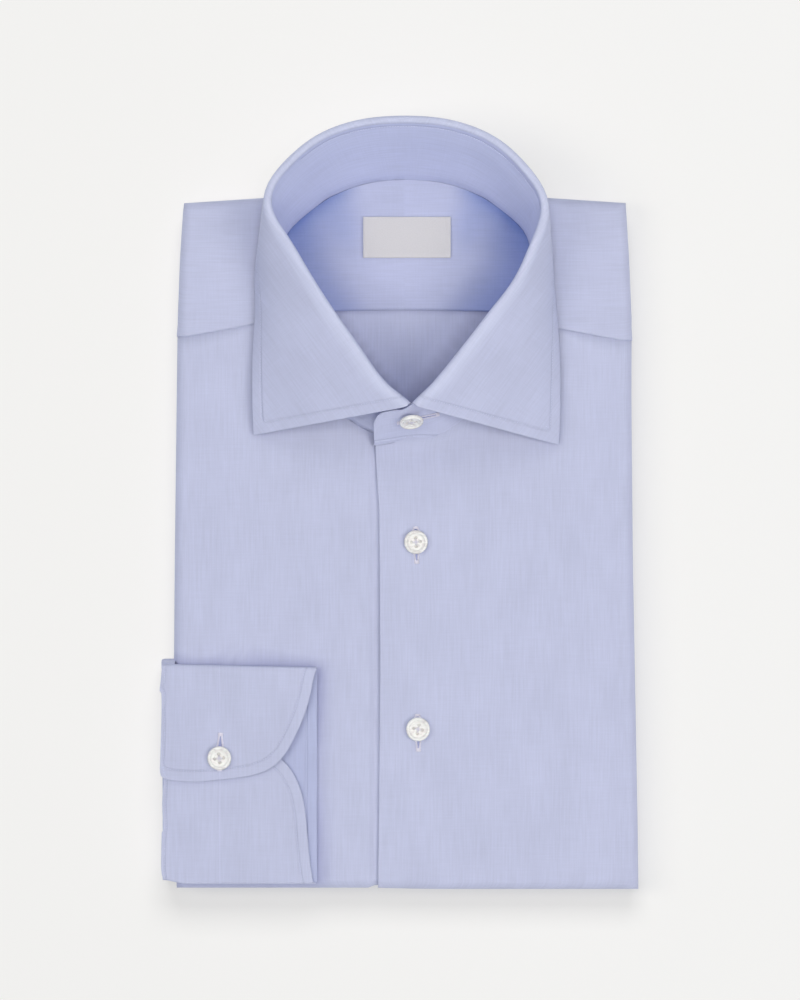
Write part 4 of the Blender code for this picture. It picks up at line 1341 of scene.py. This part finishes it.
# painted shadow: a dark sheet fills each slit between its two sides
slit_shadow_mesh = bmesh.new()
for name, rows, half_wall, (x, y), tilt, turn, start, end, opening, node in FASTENINGS:
    facing = Matrix.Rotation(math.radians(turn), 4, "Z")
    if tilt:
        facing = facing @ Matrix.Rotation(math.radians(tilt), 4, "X")
        under = Vector((x, y, COLLAR_BUTTON_Z)) - (facing @ Vector((0, 0, 1))) * 0.7
    else:
        under = on_cloth(rows, x, y)[0] + Vector((0, 0, half_wall + 0.45))
    look = shell_look(name + "_shell", 1.3 + len(crossed))
    button = turned_button(name + "_shell_button", Matrix.Translation(under * MM) @ facing, look)
    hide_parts(node)
    up = facing @ Vector((0, 0, 1))
    for quarter in range(2):
        along_x = facing @ quarter_way(quarter)
        beside = up.cross(along_x) * 0.26
        for side in (-1, 1):
            middle = under + up * (1.52 + 0.12 * quarter) + beside * side
            crossed.append(strand(middle, along_x, up))
    a, b = Vector(start), Vector(end)
    way = (b - a).normalized().to_3d()
    steps = round((b - a).length / HOLE_THREAD)
    sides = ([], [])
    for k in range(steps + 1):
        t = k / steps
        spot, normal = on_cloth(rows, *a.lerp(b, t))
        spot += normal * (half_wall + 0.1)
        across = normal.cross(way).normalized()
        near = opening * (1 - smooth(0.55, 0.92, t)) * smooth(0.0, 0.12, t)
        for side, found in zip((-1, 1), sides):
            outer = spot + across * side * (0.72 + near / 2) + normal * 0.08
            hole_sewing.append(strand(outer, across, normal))
            found.append(spot + across * side * (0.16 + near / 2))
        if k in (0, 1, steps - 2, steps - 1, steps):
            for shift in (-0.2, 0.2):
                bars.append(strand(spot + normal * 0.2 + way * shift, across, normal))
    slit, _ = grid_cut(steps, 1, lambda i, j: sides[j][i])
    slit_part = bpy.data.meshes.new("slit")
    slit.to_mesh(slit_part)
    slit.free()
    slit_shadow_mesh.from_mesh(slit_part)
    bpy.data.meshes.remove(slit_part)

sew("button_thread", crossed, BUTTON_THREAD, ONE_STITCH, long=4.3, wide=0.42)
sew("buttonhole_thread", hole_sewing, HOLE_COTTON, ONE_STITCH, long=1.3, wide=0.48)
sew("buttonhole_bars", bars, BAR_COTTON, ONE_STITCH, long=2.8, wide=0.5)
slit_shadow_look = new_look("slit_shade", {"Roughness": 0.9})
uneven_dye_and_shade(slit_shadow_look, SLIT_SHADE, 500.0)
slits = add_piece("buttonhole_slit_shadows", slit_shadow_mesh, slit_shadow_look)
add_wall(slits, 0.06, -1)
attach(slits, "root")

# ---- Label ---------------------------------------------------------------------------
# A plain woven damask tape without any print, folded under and tacked at both ends to the
# middle of the inner yoke.
LABEL_X = (-17.4, 24.0)
LABEL_Y = (117.0, 136.4)
LABEL_WALL = 0.4
LABEL_Z = LINING_Z + 1.5
LABEL_PLY = 0.28        # how much its folded ends add
TACK_IN = 0.8           # from its ends and its lower edge to the tacking
TAPE_COLOR = (0.655, 0.64, 0.655)
TACK_THREAD = (0.62, 0.60, 0.66)

tape = new_look("label_damask", {"Roughness": 0.55, "Sheen Weight": 0.3})
tape_map = add_node(tape, "UVMap", {}, uv_map="cloth").outputs["UV"]
ribs = add_node(tape, "TexWave", {"Vector": tape_map, "Scale": 900.0, "Distortion": 1.0},
                bands_direction="Y")
specks = add_node(tape, "TexNoise", {"Vector": tape_map, "Scale": 1600.0})
tape_tint = toned(tape, TAPE_COLOR, specks.outputs["Fac"], 0.93, 1.05, 0.0, 1.0)
tape_bump = add_node(tape, "Bump", {"Height": ribs.outputs["Fac"], "Strength": 0.35,
                                    "Distance": 0.00005})
finish(tape, {"Base Color": tape_tint, "Normal": tape_bump.outputs["Normal"]})

label_rows = []
for k in range(45):
    x = LABEL_X[0] + (LABEL_X[1] - LABEL_X[0]) * k / 44
    ply = LABEL_PLY * (1 - smooth(1.1, 1.7, min(x - LABEL_X[0], LABEL_X[1] - x)))
    ys = [LABEL_Y[0] + (LABEL_Y[1] - LABEL_Y[0]) * j / 22 for j in range(23)]
    label_rows.append([Vector((x, y, LABEL_Z + ply + swell(x, y, 0.2, 14.0, 3.9))) for y in ys])
label = lay_cloth("label_tape", tight_rim(label_rows), LABEL_WALL, 0, tape, (0, 0, 1),
                  grain=lambda p: (p.x * MM, p.y * MM))
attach(label, "root")
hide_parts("label")
label_sewing = [[(Vector((x, LABEL_Y[0] + TACK_IN + k * 0.5, LABEL_Z + 0.5)), Vector((0, 0, 1)))
                 for k in range(37)] for x in (LABEL_X[0] + TACK_IN, LABEL_X[1] - TACK_IN)]
sew("label_tacking", label_sewing, TACK_THREAD, pitch=1.5, long=0.9, wide=0.26)
